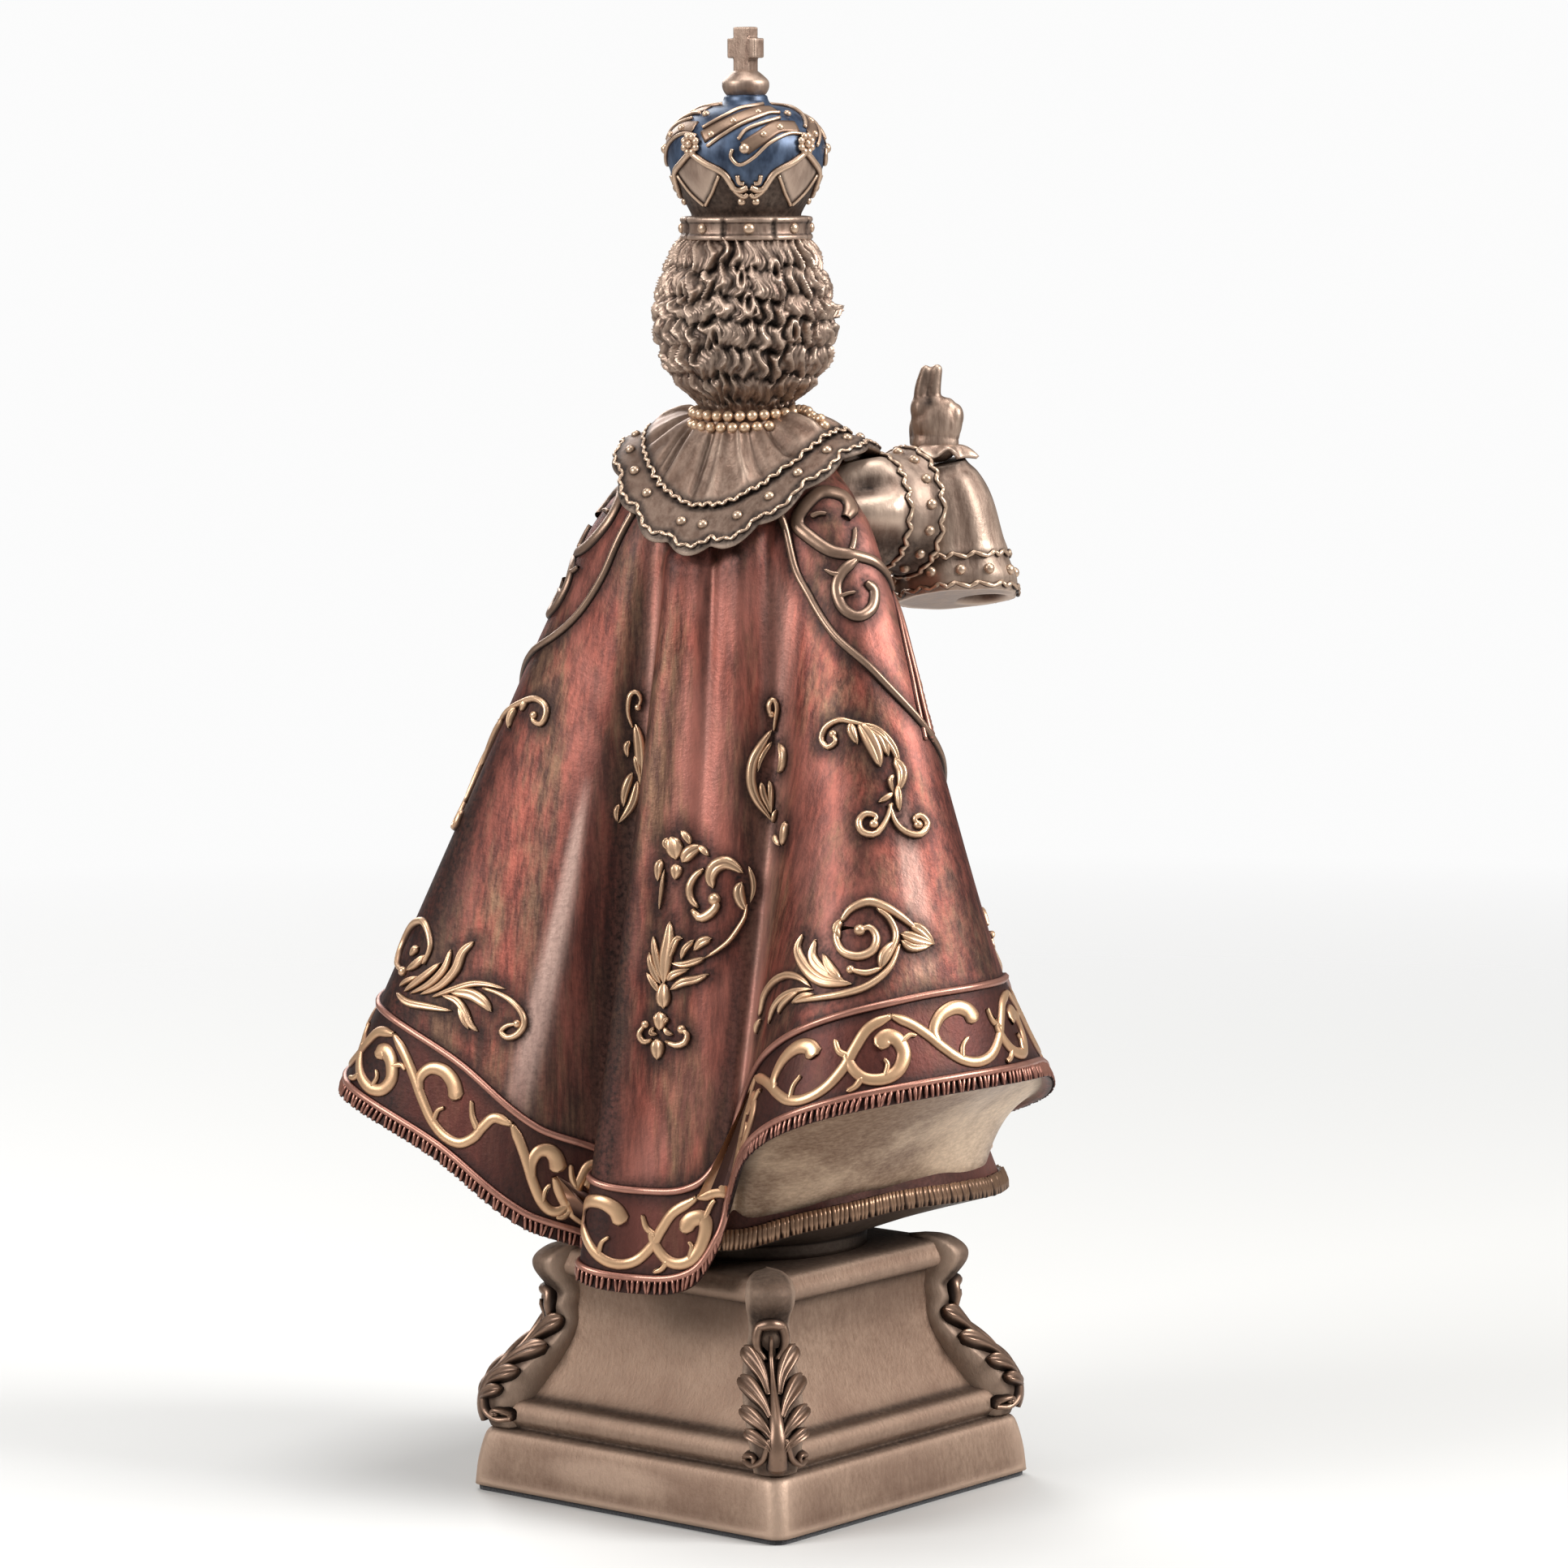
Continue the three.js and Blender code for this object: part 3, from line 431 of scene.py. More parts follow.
def makeBronze(name, tones=bronzeTones, streak=(500, 500, 90), deep=0.25, high=0.2, brushed=0.5, matt=0.4):
    paint = Paint(name, Metallic=0.75)
    lie = paint.mark("hollow")
    speck = paint.noise((900, 900, 900), 2).between(0.3, 0.8)
    # stain holds patina and dark colour, and painted shade on the hand, the sleeves, the plinth and the
    # consoles; bright holds the crown's pale fields and a painted highlight on the plinth
    stain = paint.mark("stain")
    hollow = (lie.between(0.02, deep).most(stain) * (0.75 + 0.35 * speck)).between(0, 1)
    crest = ((lie * -1.0).between(0.02, high) * 0.7).most(paint.mark("bright") * 0.8)
    colour, grain = bronzeCoat(paint, tones, streak, hollow, crest, brushed)
    rough = matt + grain * 0.12 + hollow * 0.2
    lift = paint.bump(grain * 0.5 + speck * 0.5, 0.00012, 0.5)
    return paint.wear(Base_Color=colour, Roughness=rough, Normal=lift)


def makeRobe(name):
    paint = Paint(name, Metallic=0.62)
    lie, fold, halo, lining = (paint.mark(n) for n in ("hollow", "fold", "halo", "lining"))
    streak = paint.noise((520, 520, 45), 5, 0.75)
    cloud = paint.noise((38, 38, 22), 3)
    speck = paint.noise((1100, 1100, 1100), 2).between(0.4, 0.75)
    red = paint.mix(streak.between(0.4, 0.62), (90, 42, 34), (156, 84, 69))
    red = paint.mix(cloud.between(0.45, 0.65) * 0.6, red, (176, 116, 103))
    olive = paint.mix(streak.between(0.4, 0.66), (66, 46, 36), (140, 104, 80))
    wash = paint.noise((75, 75, 11), 5, 0.75).between(0.45, 0.6) * 0.9
    red = paint.mix(wash * (0.6 + 0.8 * streak), red, olive)
    # painted highlight on the ridges of the robe's folds
    ridge = (fold * -1.0).between(0.05, 1.0)
    red = paint.mix(ridge * 0.4, red, (214, 160, 144))
    # painted highlights on two ridges, from the cape's paintedHighlights table
    red = paint.mix(paint.mark("shine") * (0.6 + 0.6 * streak), red, (240, 200, 184))
    ground = paint.mark("ground")
    red = paint.mix(ground * 0.78, red, (80, 36, 29))
    # painted shade in the deep folds, less near the cape's front edges, joined with halo and with patina in
    # the fine hollows
    shadeAndPatina = fold.between(0.06, 1.5) * 0.92 * (1 - paint.mark("front"))
    shadeAndPatina = shadeAndPatina.most(halo * 0.9).most(lie.between(0.03, 0.3))
    shadeAndPatina = (shadeAndPatina * (0.85 + 0.3 * speck)).between(0, 1)
    red = paint.mix(shadeAndPatina, red, (34, 19, 16))
    brushed = paint.noise((700, 700, 1500), 3, 0.7).between(0.38, 0.66) * 0.3
    brushed = brushed + 0.55 * paint.noise((32, 32, 46), 3).between(0.46, 0.64)
    plain = paint.mix(brushed, (136, 110, 91), (232, 206, 178))
    # the lining and the tunic's foot take patina and painted shade too
    plain = paint.mix(lie.between(0.03, 0.3).most(halo * 0.9), plain, (40, 30, 25))
    colour = paint.mix(lining, red, plain)
    rough = 0.38 + streak * 0.14 + shadeAndPatina * 0.12
    lift = paint.bump(streak * 0.6 + speck * 0.4, 0.00014, 0.45)
    return paint.wear(Base_Color=colour, Roughness=rough, Normal=lift)


# Gold relief: pale on its crest, dark where it meets the ground.
def makeGold(name, crestTone, footTone, worn):
    paint = Paint(name, Metallic=0.7)
    rise = paint.mark("rise")
    rub = paint.noise((260, 260, 260), 4, 0.7)
    shine = (rise.between(0.35, 0.98) * (0.6 + 0.8 * rub.between(0.25, 0.6))).between(0, 1)
    colour = paint.mix(rise.between(0.02, 0.7), footTone, worn)
    colour = paint.mix(shine, colour, crestTone)
    rough = 0.46 - shine * 0.12
    return paint.wear(Base_Color=colour, Roughness=rough, Normal=paint.bump(rub, 0.0001, 0.5))


def makeEnamel(name, colour, light):
    paint = Paint(name, Metallic=0.35)
    lie = paint.mark("hollow")
    streak = paint.noise((400, 400, 200), 3)
    body = paint.mix(streak.between(0.35, 0.7), colour, light)
    body = paint.mix(lie.between(0.03, 0.3), body, (24, 24, 30))
    return paint.wear(Base_Color=body, Roughness=0.32 + streak * 0.15, Normal=paint.bump(streak, 0.0001, 0.4))


def makeFelt(name):
    paint = Paint(name, Metallic=0.0, Sheen_Weight=0.3)
    nap = paint.noise((2200, 2200, 2200), 4, 0.8)
    colour = paint.mix(nap.between(0.3, 0.7), (26, 26, 28), (58, 58, 62))
    return paint.wear(Base_Color=colour, Roughness=0.9 + nap * 0.08, Normal=paint.bump(nap, 0.0003, 0.8))


robePaint = makeRobe("robeRed")
bronzePaint = makeBronze("castBronze")
hairPaint = makeBronze("hairBronze", dict(bronzeTones, mid=(80, 64, 56), light=(214, 188, 168)), deep=0.19,
                       high=0.36)
handPaint = makeBronze("handBronze", dict(bronzeTones, mid=(118, 94, 80)), deep=0.2, high=0.3, brushed=0.6)
collarPaint = makeBronze("collarBronze", dict(bronzeTones, mid=(124, 100, 86)), brushed=0.35)
smoothBronze = makeBronze("plinthBronze", dict(bronzeTones, mid=(130, 106, 89), light=(190, 164, 144)),
                          (1100, 1100, 500), deep=0.5, high=0.35, brushed=0.3, matt=0.54)
trimPaint = makeGold("bronzeTrim", (196, 168, 144), (44, 33, 28), (110, 88, 74))
goldPaint = makeGold("goldRelief", (212, 174, 140), (42, 28, 23), (126, 92, 72))
crownPaint = makeGold("crownGold", (204, 174, 148), (44, 32, 27), (128, 100, 82))
beadPaint = makeGold("paleBeads", (218, 184, 152), (40, 28, 23), (116, 88, 70))
bandPaint = makeGold("goldScrollwork", (200, 161, 125), (50, 26, 20), (156, 114, 88))
bronzeTrim = makeGold("bronzeScrolls", (142, 115, 97), (30, 21, 18), (78, 58, 48))
fringePaint = makeGold("fringeBronze", (150, 118, 94), (34, 24, 20), (84, 62, 50))
cordPaint = makeGold("redCord", (166, 118, 102), (38, 20, 17), (102, 54, 46))
goldBall = makeBronze("orbGold", dict(bronzeTones, mid=(186, 148, 100), light=(226, 190, 140)))
bluePaint = makeEnamel("crownBlue", (32, 44, 64), (76, 92, 116))
leafBronze = makeGold("leafBronze", (128, 102, 85), (28, 19, 16), (72, 54, 44))
feltPaint = makeFelt("blackFelt")


# The robe's cape and tunic

cape = {
    "top": 164, "shoulderAcross": 25, "shoulderDeep": 21, "tuck": 8, "tuckShare": 0.15, "underCollar": 9,
    "lip": 2.4, "hollow": 3.5, "edge": 150, "columns": 312, "rows": 184,
    # angle at the hem, lean at the shoulders, radius and height of the hem, swell between
    "ribs": [(-150, 22, 51, 21, -0.3), (-130, 16, 60, 29, -0.55), (-106, 2, 66, 38, -0.65),
             (-84, -8, 74, 41, 0.15), (-62, -20, 74, 39.5, 0.22), (-48, -28, 68, 35, 0.15),
             (-39, -31, 57, 27, 0.05), (-34, -28, 42, 15, 0.05), (-30, -19, 42, 5, 0.15),
             (-23, -12, 42.5, -2, 0.2), (-8, -8, 43, -4, 0.2), (9, -10, 46.5, -2.3, 0.1), (16, -10, 38, 1, 0),
             (23, -5, 52, 7, 0.1), (37, -1, 66.5, 20, 0.14), (51, 0, 84.5, 30.5, 0.05),
             (75, -3, 79, 31.5, 0.12), (103, -8, 68, 28, 0.22), (130, -18, 57, 21, 0.15),
             (150, -22, 50, 15, 0.1)],
    # soft folds: angle, depth, width, and the falls where they start and end
    "folds": [(-22, 1.5, 4, 0, 0.8), (14, 1.4, 5, 0, 0.5), (-50, 1.5, 4.5, 0, 0.7), (-36, -0.8, 4, 0, 0.6),
              (-4, -0.6, 6, 0, 0.45), (-70, 1, 7, 0.3, 1.1), (62, 1.2, 8, 0.3, 1.1), (95, 1.2, 8, 0.1, 1.0),
              (120, 1.1, 7, 0, 1.1), (-112, 1, 7, 0, 0.9)],
    # painted shade, with some patina, deep in a valley: falls against its middle and half-width in degrees,
    # and strength
    "shadedValleys": [([(0.3, 21), (0.4, 19), (0.45, 15), (0.57, 12.5), (0.67, 11.5), (0.82, 10), (1, 9)],
                 [(0.3, 2), (0.45, 7), (0.57, 9), (0.7, 10), (1, 10.5)],
                 [(0.3, 0), (0.42, 0.8), (0.55, 1), (1, 0.95)]),
                ([(0.3, -33), (0.45, -31), (0.65, -30.5), (0.85, -28), (1, -27)],
                 [(0.3, 2), (0.6, 2.6), (1, 3)], [(0.3, 0), (0.5, 0.7), (1, 0.85)]),
                ([(0.12, 20.5), (0.4, 19)], [(0.1, 1.6), (0.4, 2)], [(0.1, 0.3), (0.2, 0.75), (0.4, 0.4)]),
                ([(0.12, -12), (0.35, -16)], [(0.1, 1.4), (0.4, 2)], [(0.1, 0.5), (0.25, 0.6), (0.38, 0)]),
                ([(0.12, -30), (0.4, -35)], [(0.1, 1.6), (0.4, 2)], [(0.1, 0.6), (0.25, 0.6), (0.42, 0)])],
    # painted highlights along two ridges, told the same way
    "paintedHighlights": [([(0.45, 25), (0.6, 25), (0.85, 26.5)], [(0.45, 0.8), (0.6, 1.3), (0.9, 1.7)],
                [(0.42, 0), (0.52, 0.9), (0.78, 0.9), (0.9, 0)]),
               ([(0.5, -65), (0.63, -66.5), (0.8, -68)], [(0.5, 1.6), (0.7, 2.6)],
                [(0.46, 0), (0.6, 0.4), (0.72, 0.35), (0.84, 0)])],
    # the edging's angle by the fall
    "edging": [(0.05, 142), (0.13, 128), (0.2, 101), (0.26, 87.5), (0.38, 82), (0.46, 81)],
}
trim = {"cord": 0.85, "bandWidth": 17.9, "fringe": 3.2, "strand": 1.15, "strandGap": 1.25, "edgeStrands": 100}


def ribs(column, angle):
    return through([(rib[0], rib[column]) for rib in cape["ribs"]], angle)


def capePoint(angle, fall, proud=0.0):
    angle, fall = np.broadcast_arrays(np.asarray(angle, float), np.asarray(fall, float))
    lean = angle + ribs(1, angle) * (1 - fall)
    turned = lean - backAngle
    shoulder = 1 / np.hypot(sine(turned) / cape["shoulderAcross"], cosine(turned) / cape["shoulderDeep"])
    spread = fall + ribs(4, angle) * fall * (1 - fall)
    tuck = cape["tuck"] * np.maximum(0, 1 - fall / cape["tuckShare"]) ** 2
    low = cosine(turned) ** 2                 # where the collar comes down over the back
    tuck = tuck + cape["underCollar"] * low * np.maximum(0, 1 - fall / (0.01 + 0.13 * low))
    radius = shoulder + (ribs(2, angle) - shoulder) * spread - tuck + proud
    for at, depth, width, start, end in cape["folds"]:
        fade = np.clip(1 - fall / end, 0, 1) * np.clip((fall - start) * 8, 0, 1) if start == 0 else \
            step(start, start + 0.25, fall) * (1 - step(end - 0.3, end, fall))
        radius = radius - depth * fade * hump(lean, at, width)
    return around(lean, radius, seat + cape["top"] + (ribs(3, angle) - cape["top"]) * fall)


def capeNormal(angle, fall):
    return looks(capePoint, angle, fall, 0.004)


# A raised stroke on the cape, and the points that it follows.
def capeStroke(bm, angle, fall, wide, high, section=strokeSection):
    points = capePoint(angle, fall)
    stroke(bm, points, capeNormal(angle, fall), wide, high, section)
    return points


def capeLength(angle):
    return np.linalg.norm(capePoint(angle, 1) - capePoint(angle, 0), axis=-1)


# The hem measured along its length, so that trims are spaced evenly.
hemAngles = np.linspace(-cape["edge"], cape["edge"], 1501)
hemRun = np.concatenate([[0], np.cumsum(np.linalg.norm(np.diff(capePoint(hemAngles, 1), axis=0), axis=1))])
hemLength = hemRun[-1]


# Point on the cape near its hem: run along the hem, and distance above it, in millimetres.
def hemSpot(run, above):
    angle = np.interp(run, hemRun, hemAngles)
    return angle, 1 - above / capeLength(angle)


tunic = {
    "top": 163, "chestAcross": 17, "chestDeep": 15, "hemThickness": 2,
    "footRadius": 24, "pleats": 10, "pleatDepth": 1.7, "neckSlope": 6, "columns": 220, "rows": 110,
    "fringe": 3.8,
    "length": 150, "cordRise": 22, "scrolls": 24, "scrollRise": 13.5,
    "hem": [(-180, 47), (-141, 53), (-100, 39), (-60, 36), (0, 34), (60, 37), (100, 40), (141, 52),
            (180, 47)],
    "low": [(-180, 9), (-141, 8.5), (-115, 9.8), (-92, 10.1), (-69, 9), (-53, 7.2), (-36, 4.6), (0, 4),
            (45, 6), (80, 9.5), (115, 10), (141, 9), (180, 9)],
    # one gold scroll: half-width, then points as a share of its length and millimetres up or down
    "scroll": [(0.9, (0, -5), (0.25, -3.6), (0.42, 0), (0.6, 3.8), (0.8, 4.8), (1, 5)),
               (0.8, (0.34, -1), (0.2, 1.6), (0.26, 4.4), (0.42, 5), (0.48, 3)),
               (0.8, (0.68, 4.6), (0.84, 2), (0.8, -1.6), (0.64, -3.6), (0.56, -1.8))],
}


def tunicHem(angle):
    return around(angle, through(tunic["hem"], angle), seat + through(tunic["low"], angle))


# Raised ornament on the cape. A motif stands at an angle and fall; its strokes go through points in
# millimetres from there, to the child's left and down the cloth, with a half-width to start with.
motifs = {
    "shoulderScroll": {"at": (54, 0.444),
        "leaf": [(0.9, (-6, -7.7), (-5.5, -5.4), (-6.2, -3.2)),
                 (0.6, (-8.2, -10.2), (-7.8, -8.8), (-7.7, -7.6)),
                 (1, (-1.9, -3.8), (-0.3, -0.6), (0.2, 3), (0.3, 7.5)),
                 (1, (-1.5, -3), (3, -1.5), (5.5, 2), (6, 6)),
                 (0.9, (0.2, 1.5), (3.2, 4), (4, 8), (3.6, 11))],
        "curl": [(0.64, (0, -1), (-1.5, -4), (-4.4, -6.8), (-6.8, -9), (-9.6, -11.2), (-12.3, -11.2),
                  (-13.3, -9.6), (-12.8, -7.4), (-11.1, -7.2), (-10.7, -8.2)),
                 (0.5, (0.6, 11), (1, 15.5), (0.6, 19.5), (-1.2, 21), (-2.7, 19.6), (-2.2, 17.2),
                  (-0.9, 17.6))],
        "stem": [(0.45, (0, 2.3), (0.6, 6.4), (0.6, 10.5), (-0.6, 15.5))]},
    "leftStem": {"at": (19.2, 0.347),
        "leaf": [(1.13, (-0.5, -0.8), (-1.8, 2), (-2.8, 4.9), (-3.7, 7.7), (-3.9, 10.8)),
                 (0.63, (0.2, 2.7), (0.7, 4.2), (0.2, 6.1)), (0.63, (-1.2, 5.5), (-2.3, 7.4), (-3.6, 9.7)),
                 (0.82, (-1.2, 8.9), (-0.5, 11.1), (-0.1, 13.6), (-0.2, 16.1)),
                 (0.94, (-2.8, 10.2), (-2.6, 13), (-1.7, 15.8), (0.3, 19.6)),
                 (0.56, (0.6, 15.8), (0.9, 17.6), (0.5, 19.4))],
        "curl": [(0.5, (0, 0), (1.2, -2.2), (1.6, -4.5), (1.4, -6.5), (0.1, -7.2), (-1.2, -5.9),
                  (-0.6, -4.2))]},
    "rightStem": {"at": (-33.1, 0.366),
        "leaf": [(0.94, (0.8, -0.6), (3.4, 0.7), (5.6, 3), (5.9, 6.2), (4.5, 9.7), (2, 14), (-1.4, 19.1)),
                 (0.56, (0.5, 1.9), (2.3, 2.3), (3.6, 3.6), (4, 5.5)),
                 (0.94, (-2.3, 3.8), (-3.9, 7), (-3.8, 9.5), (-2.5, 10)),
                 (0.75, (2.9, 8.2), (2, 11.6), (-1.1, 17.4)), (0.63, (0.5, 9.6), (-0.5, 13.4), (-1.4, 17.5)),
                 (0.31, (-3.1, 18.1), (-2.8, 19.5), (-2.2, 20.1)),
                 (1.1, (-6.3, 22.8), (-6.2, 25.2), (-5.8, 27.5)),
                 (0.5, (-3.3, 23.3), (-4, 25.1), (-5.1, 27))],
        "curl": [(0.5, (-0.1, 0), (-0.5, -1.9), (-1, -4.1), (0.6, -6.6), (2, -6.5), (1.7, -4.7),
                  (0.9, -3.8))]},
    "rose": {"at": (-6.8, 0.456),
        "leaf": [(1.74, (0, 0), (-0.7, 2.3), (-1.3, 4.6)), (0.74, (-1.9, -1.3), (-3.2, 0.2), (-3.8, 1.5)),
                 (1.27, (-2.5, 5.1), (-3.9, 3), (-5.9, 2)), (0.67, (-5.3, 1.8), (-6.5, 2.9), (-7.5, 4.1)),
                 (0.67, (0.8, 0.3), (1.2, 1.5), (0.4, 2.7)), (1.2, (-1.4, 5.4), (-1.5, 6.9), (-1.4, 8.6)),
                 (0.87, (1.7, 4.7), (2.2, 6.4), (2.1, 9.1)),
                 (0.37, (0.9, 6.7), (1.1, 9.4), (1.2, 12.4), (1.3, 14.7))]},
    "cCurls": {"at": (-21.8, 0.52),
        "leaf": [(1.34, (0, 0), (0.7, -2.2), (-0.1, -4.2), (-2.1, -4.5), (-3.9, -2.6), (-5.3, 0.1)),
                 (0.54, (-6.1, -0.4), (-6.7, 3.1), (-6.9, 6.1), (-6.6, 8)),
                 (1.14, (-5.2, 1.8), (-4.8, 3.3), (-5.3, 6), (-6.3, 9.3))],
        "curl": [(0.95, (4.5, 3.7), (2.7, 5.5), (0.6, 5.2), (-0.9, 3.8), (-0.4, 2.3))],
        "stem": [(0.75, (2.3, -4.2), (4.4, -2.9), (5.5, -0.7), (4.9, 1.7), (3.1, 3.5)),
                 (0.5, (-6.2, 7.7), (-6, 10.2), (-5, 11.5), (-3.7, 12.5), (-2, 12.9), (0.7, 13.8))]},
    "palmette": {"at": (-8.2, 0.631),
        "leaf": [(1.34, (0, 0), (0, -4.7), (-0.3, -8.7), (-0.3, -12.6)),
                 (0.74, (-0.5, -4.7), (-1.2, -6.8), (-2.1, -9.1), (-3.3, -9.3)),
                 (0.8, (0.4, -0.7), (1.6, -4), (2.6, -6.9), (3.1, -9.5)),
                 (0.8, (0.6, 0), (2, -1.9), (3.2, -4.2), (3.6, -6.2)),
                 (0.67, (0.7, 1.7), (2.3, -0.3), (3.8, -2.1)),
                 (0.8, (-0.8, -0.7), (-2.1, -2.1), (-5.1, -3.1)),
                 (0.87, (-1.5, 1.1), (-4, -0.5), (-6.6, -0.8), (-9, -1.4)),
                 (1.47, (-0.4, 4.9), (-0.1, 2.3), (-0.1, -0.4)),
                 (0.74, (-8.2, -4.9), (-6, -4.4), (-3.7, -4), (-1.4, -4.3)),
                 (0.67, (-5.6, -8.9), (-3.9, -7.1), (-3.3, -5.1)),
                 (0.94, (-9.1, -8.6), (-7.2, -8.2), (-5.7, -6.7))]},
    "fleur": {"at": (-7.9, 0.663),
        "leaf": [(1.4, (0, 0.1), (-0.1, 1.9), (-0.1, 3.9)), (0.54, (1.1, 0.9), (0.7, 1.6), (0, 2.1)),
                 (0.54, (-1.9, 1.3), (-1.3, 1.9), (-0.9, 2.5)), (0.54, (1.1, 3.3), (1.6, 4.5), (0.2, 4.7)),
                 (0.54, (-1.2, 3.2), (-1.9, 4.3), (-3.1, 4.6)), (1.4, (0.1, 5.6), (0, 7.6), (-0.1, 9.8))],
        "curl": [(0.6, (1.3, 5.8), (2.9, 6.4), (4, 4.9), (3, 2.9)),
                 (0.67, (-1.7, 6), (-3.7, 6.8), (-5.6, 6.3), (-5.9, 4.7), (-4.7, 3.6))]},
    "bigScroll": {"at": (-57.3, 0.425),
        "leaf": [(0.92, (3.4, -1.4), (3.1, 0.6), (2.2, 3.3)),
                 (1.42, (1.8, -1.1), (0.1, 2), (-1.2, 5.6), (-1.8, 8.8)),
                 (1.25, (0.2, 0.4), (-2.4, 2.8), (-3.5, 6.9)),
                 (0.92, (1.6, -0.7), (-1.8, 1.5), (-4.4, 5.1), (-5.4, 8.9)),
                 (1.09, (-4.6, 7.5), (-5.7, 10.7), (-4.7, 14.4)),
                 (0.75, (-4.6, 13.1), (-4.5, 15.6), (-4.5, 18.5)),
                 (0.5, (-4.1, 10.9), (-3.4, 12), (-3.7, 14.6)),
                 (0.59, (-3.7, 14.6), (-2.4, 15.4), (-1.1, 15.9))],
        "curl": [(0.6, (0, 0.1), (3.2, -1.5), (5.5, -2.6), (7.6, -2), (8.2, 0.1), (7.2, 2.1), (6, 1.5),
                  (6.5, -0.2)),
                 (0.67, (-3.3, 16.7), (-2.2, 19.8), (-0.3, 22.2), (1.7, 21.2), (2.3, 19), (1.3, 17.7),
                  (-0.5, 18.6), (-0.1, 20.1)),
                 (0.67, (-2.9, 16.8), (-3.7, 20.6), (-5.4, 23.1), (-7.5, 23.8), (-8.8, 21.9), (-7.9, 20),
                  (-6.8, 20.5), (-7.3, 21.8))]},
    "spiral": {"at": (-50.2, 0.708),
        "leaf": [(1.09, (-16.1, 3.9), (-18.7, 5.6), (-21.4, 8.7)),
                 (1.17, (-13.7, 5.4), (-17.1, 7.1), (-21.4, 8.8)),
                 (0.84, (-13.7, 6.8), (-16.3, 8.8), (-20.4, 9.1)),
                 (0.84, (-0.1, -0.4), (0.8, 1.2), (-0.1, 3.4)), (1, (-12.4, 6.8), (-9.7, 9), (-9, 12)),
                 (1.17, (-3.3, 13.6), (2.2, 11.4), (5.9, 7.5), (8.5, 2.5), (7.9, -0.4)),
                 (1.09, (-2, 12.9), (2.6, 9.2), (5.2, 5.3), (5, 1.9)),
                 (1, (-1.2, 12.5), (1.2, 9.2), (3.1, 5.5)),
                 (0.74, (4.7, 11.5), (6.9, 8.9), (9.9, 6.5), (12.7, 5.6), (14.4, 6), (14.8, 8), (15.2, 8.9)),
                 (0.5, (14.6, 10.3), (15.2, 10.8), (15.5, 11.7)),
                 (0.67, (4.2, 12.2), (7.9, 10.9), (10.4, 10.7), (11.9, 11.6), (12.5, 13.9)),
                 (0.54, (6.5, 11.5), (8.7, 11.8), (10.1, 12.6), (10.5, 13.7)),
                 (0.54, (3.7, 13.4), (6, 12.8), (8, 13.2))],
        "curl": [(0.84, (0.4, 0.7), (0.7, 3.1), (-1, 6.4), (-4.3, 8.2), (-7.2, 7.6), (-8, 5.2), (-6.5, 2.8),
                  (-4.2, 2.8)), (0.63, (-9.1, 11.7), (-6, 12), (-2.8, 10.5))],
        "stem": [(0.85, (0, 0), (-2.1, -2.1), (-6, -2.6), (-10.1, -0.8), (-14.2, 2.1), (-17.5, 5)),
                 (0.63, (-8, -0.9), (-11, 1.8), (-12.5, 5.5), (-11.1, 8.9), (-9.1, 11.7)),
                 (0.71, (-13.3, 7.6), (-10.9, 12), (-6.6, 14.7), (-2.2, 15.2), (2.6, 14.5), (7.9, 13.1))]},
    "hemLeaf": {"at": (45.2, 0.77),
        "leaf": [(0.84, (0.3, -1.8), (1.8, 0.8), (3.8, 3.2)), (0.84, (3, -2.4), (3.8, -1.3), (4.4, 0.2)),
                 (0.52, (0.1, 2.8), (2.4, 4.9), (3.9, 6.8)),
                 (0.78, (-3.9, -2.2), (-1.7, 1.4), (0.3, 4.4), (2.1, 7.1)),
                 (0.78, (-5.2, -5.7), (-5.2, -1.7), (-3, 2.9), (0.4, 6.7)),
                 (0.97, (-9.9, -9.6), (-8, -6.5), (-7.6, -2.5), (-5.4, 2), (-1.9, 5.7)),
                 (0.78, (4, 8.3), (0.3, 8.6), (-4.5, 7), (-9.4, 5.2)),
                 (0.65, (-4.5, 4.9), (-8.1, 1.5), (-12.1, -1.7), (-16.3, -3.6), (-21.9, -5.2)),
                 (1.23, (-7.8, 2), (-12.7, 0.1), (-16.9, -0.1), (-19.5, 0.5)),
                 (0.84, (-6.4, 3.5), (-9.8, 2.8), (-12.5, 3.8), (-14.7, 5.4), (-17.1, 5.7)),
                 (0.65, (-10.8, 3.3), (-12.5, 5.2), (-14.6, 6.5))],
        "curl": [(0.75, (0, 0), (0, -4), (3, -6.8), (6.5, -6.9), (12.2, -2.9), (12.7, 0.9), (9.3, 3.5),
                  (5, 3.9)),
                 (0.65, (-15.7, -2.5), (-20.3, -3.6), (-24.8, -4), (-28.2, -3.3), (-29.4, -1.6), (-28.1, 0.9),
                  (-25.6, 2.7), (-23.6, 2.5), (-24.9, 0.7), (-27.5, -0.9))]},
}
# The same motifs again where the cape faces away: name, where, and whether turned over.
repeats = [("bigScroll", 88, 0.4, True), ("spiral", 86, 0.7, True), ("spiral", -118, 0.7),
           ("bigScroll", -112, 0.38), ("bigScroll", 128, 0.42, True), ("spiral", 128, 0.74, True)]

# strokes are broader than their guide lines say; rows are points a millimetre
relief = {"swell": 1.2, "high": 1.2, "rows": 1.25}
reliefPoints = []


# Half-width along a stroke of each kind, as a share of its widest.
swelling = {
    "leaf": lambda share: 0.1 + 0.9 * np.sin(np.pi * share ** 0.85) ** 0.6,
    "curl": lambda share: 0.55 + 0.45 * np.sin(np.pi * share),
    "stem": lambda share: 0.35 + 0.65 * np.sin(np.pi * share) ** 0.5,
}


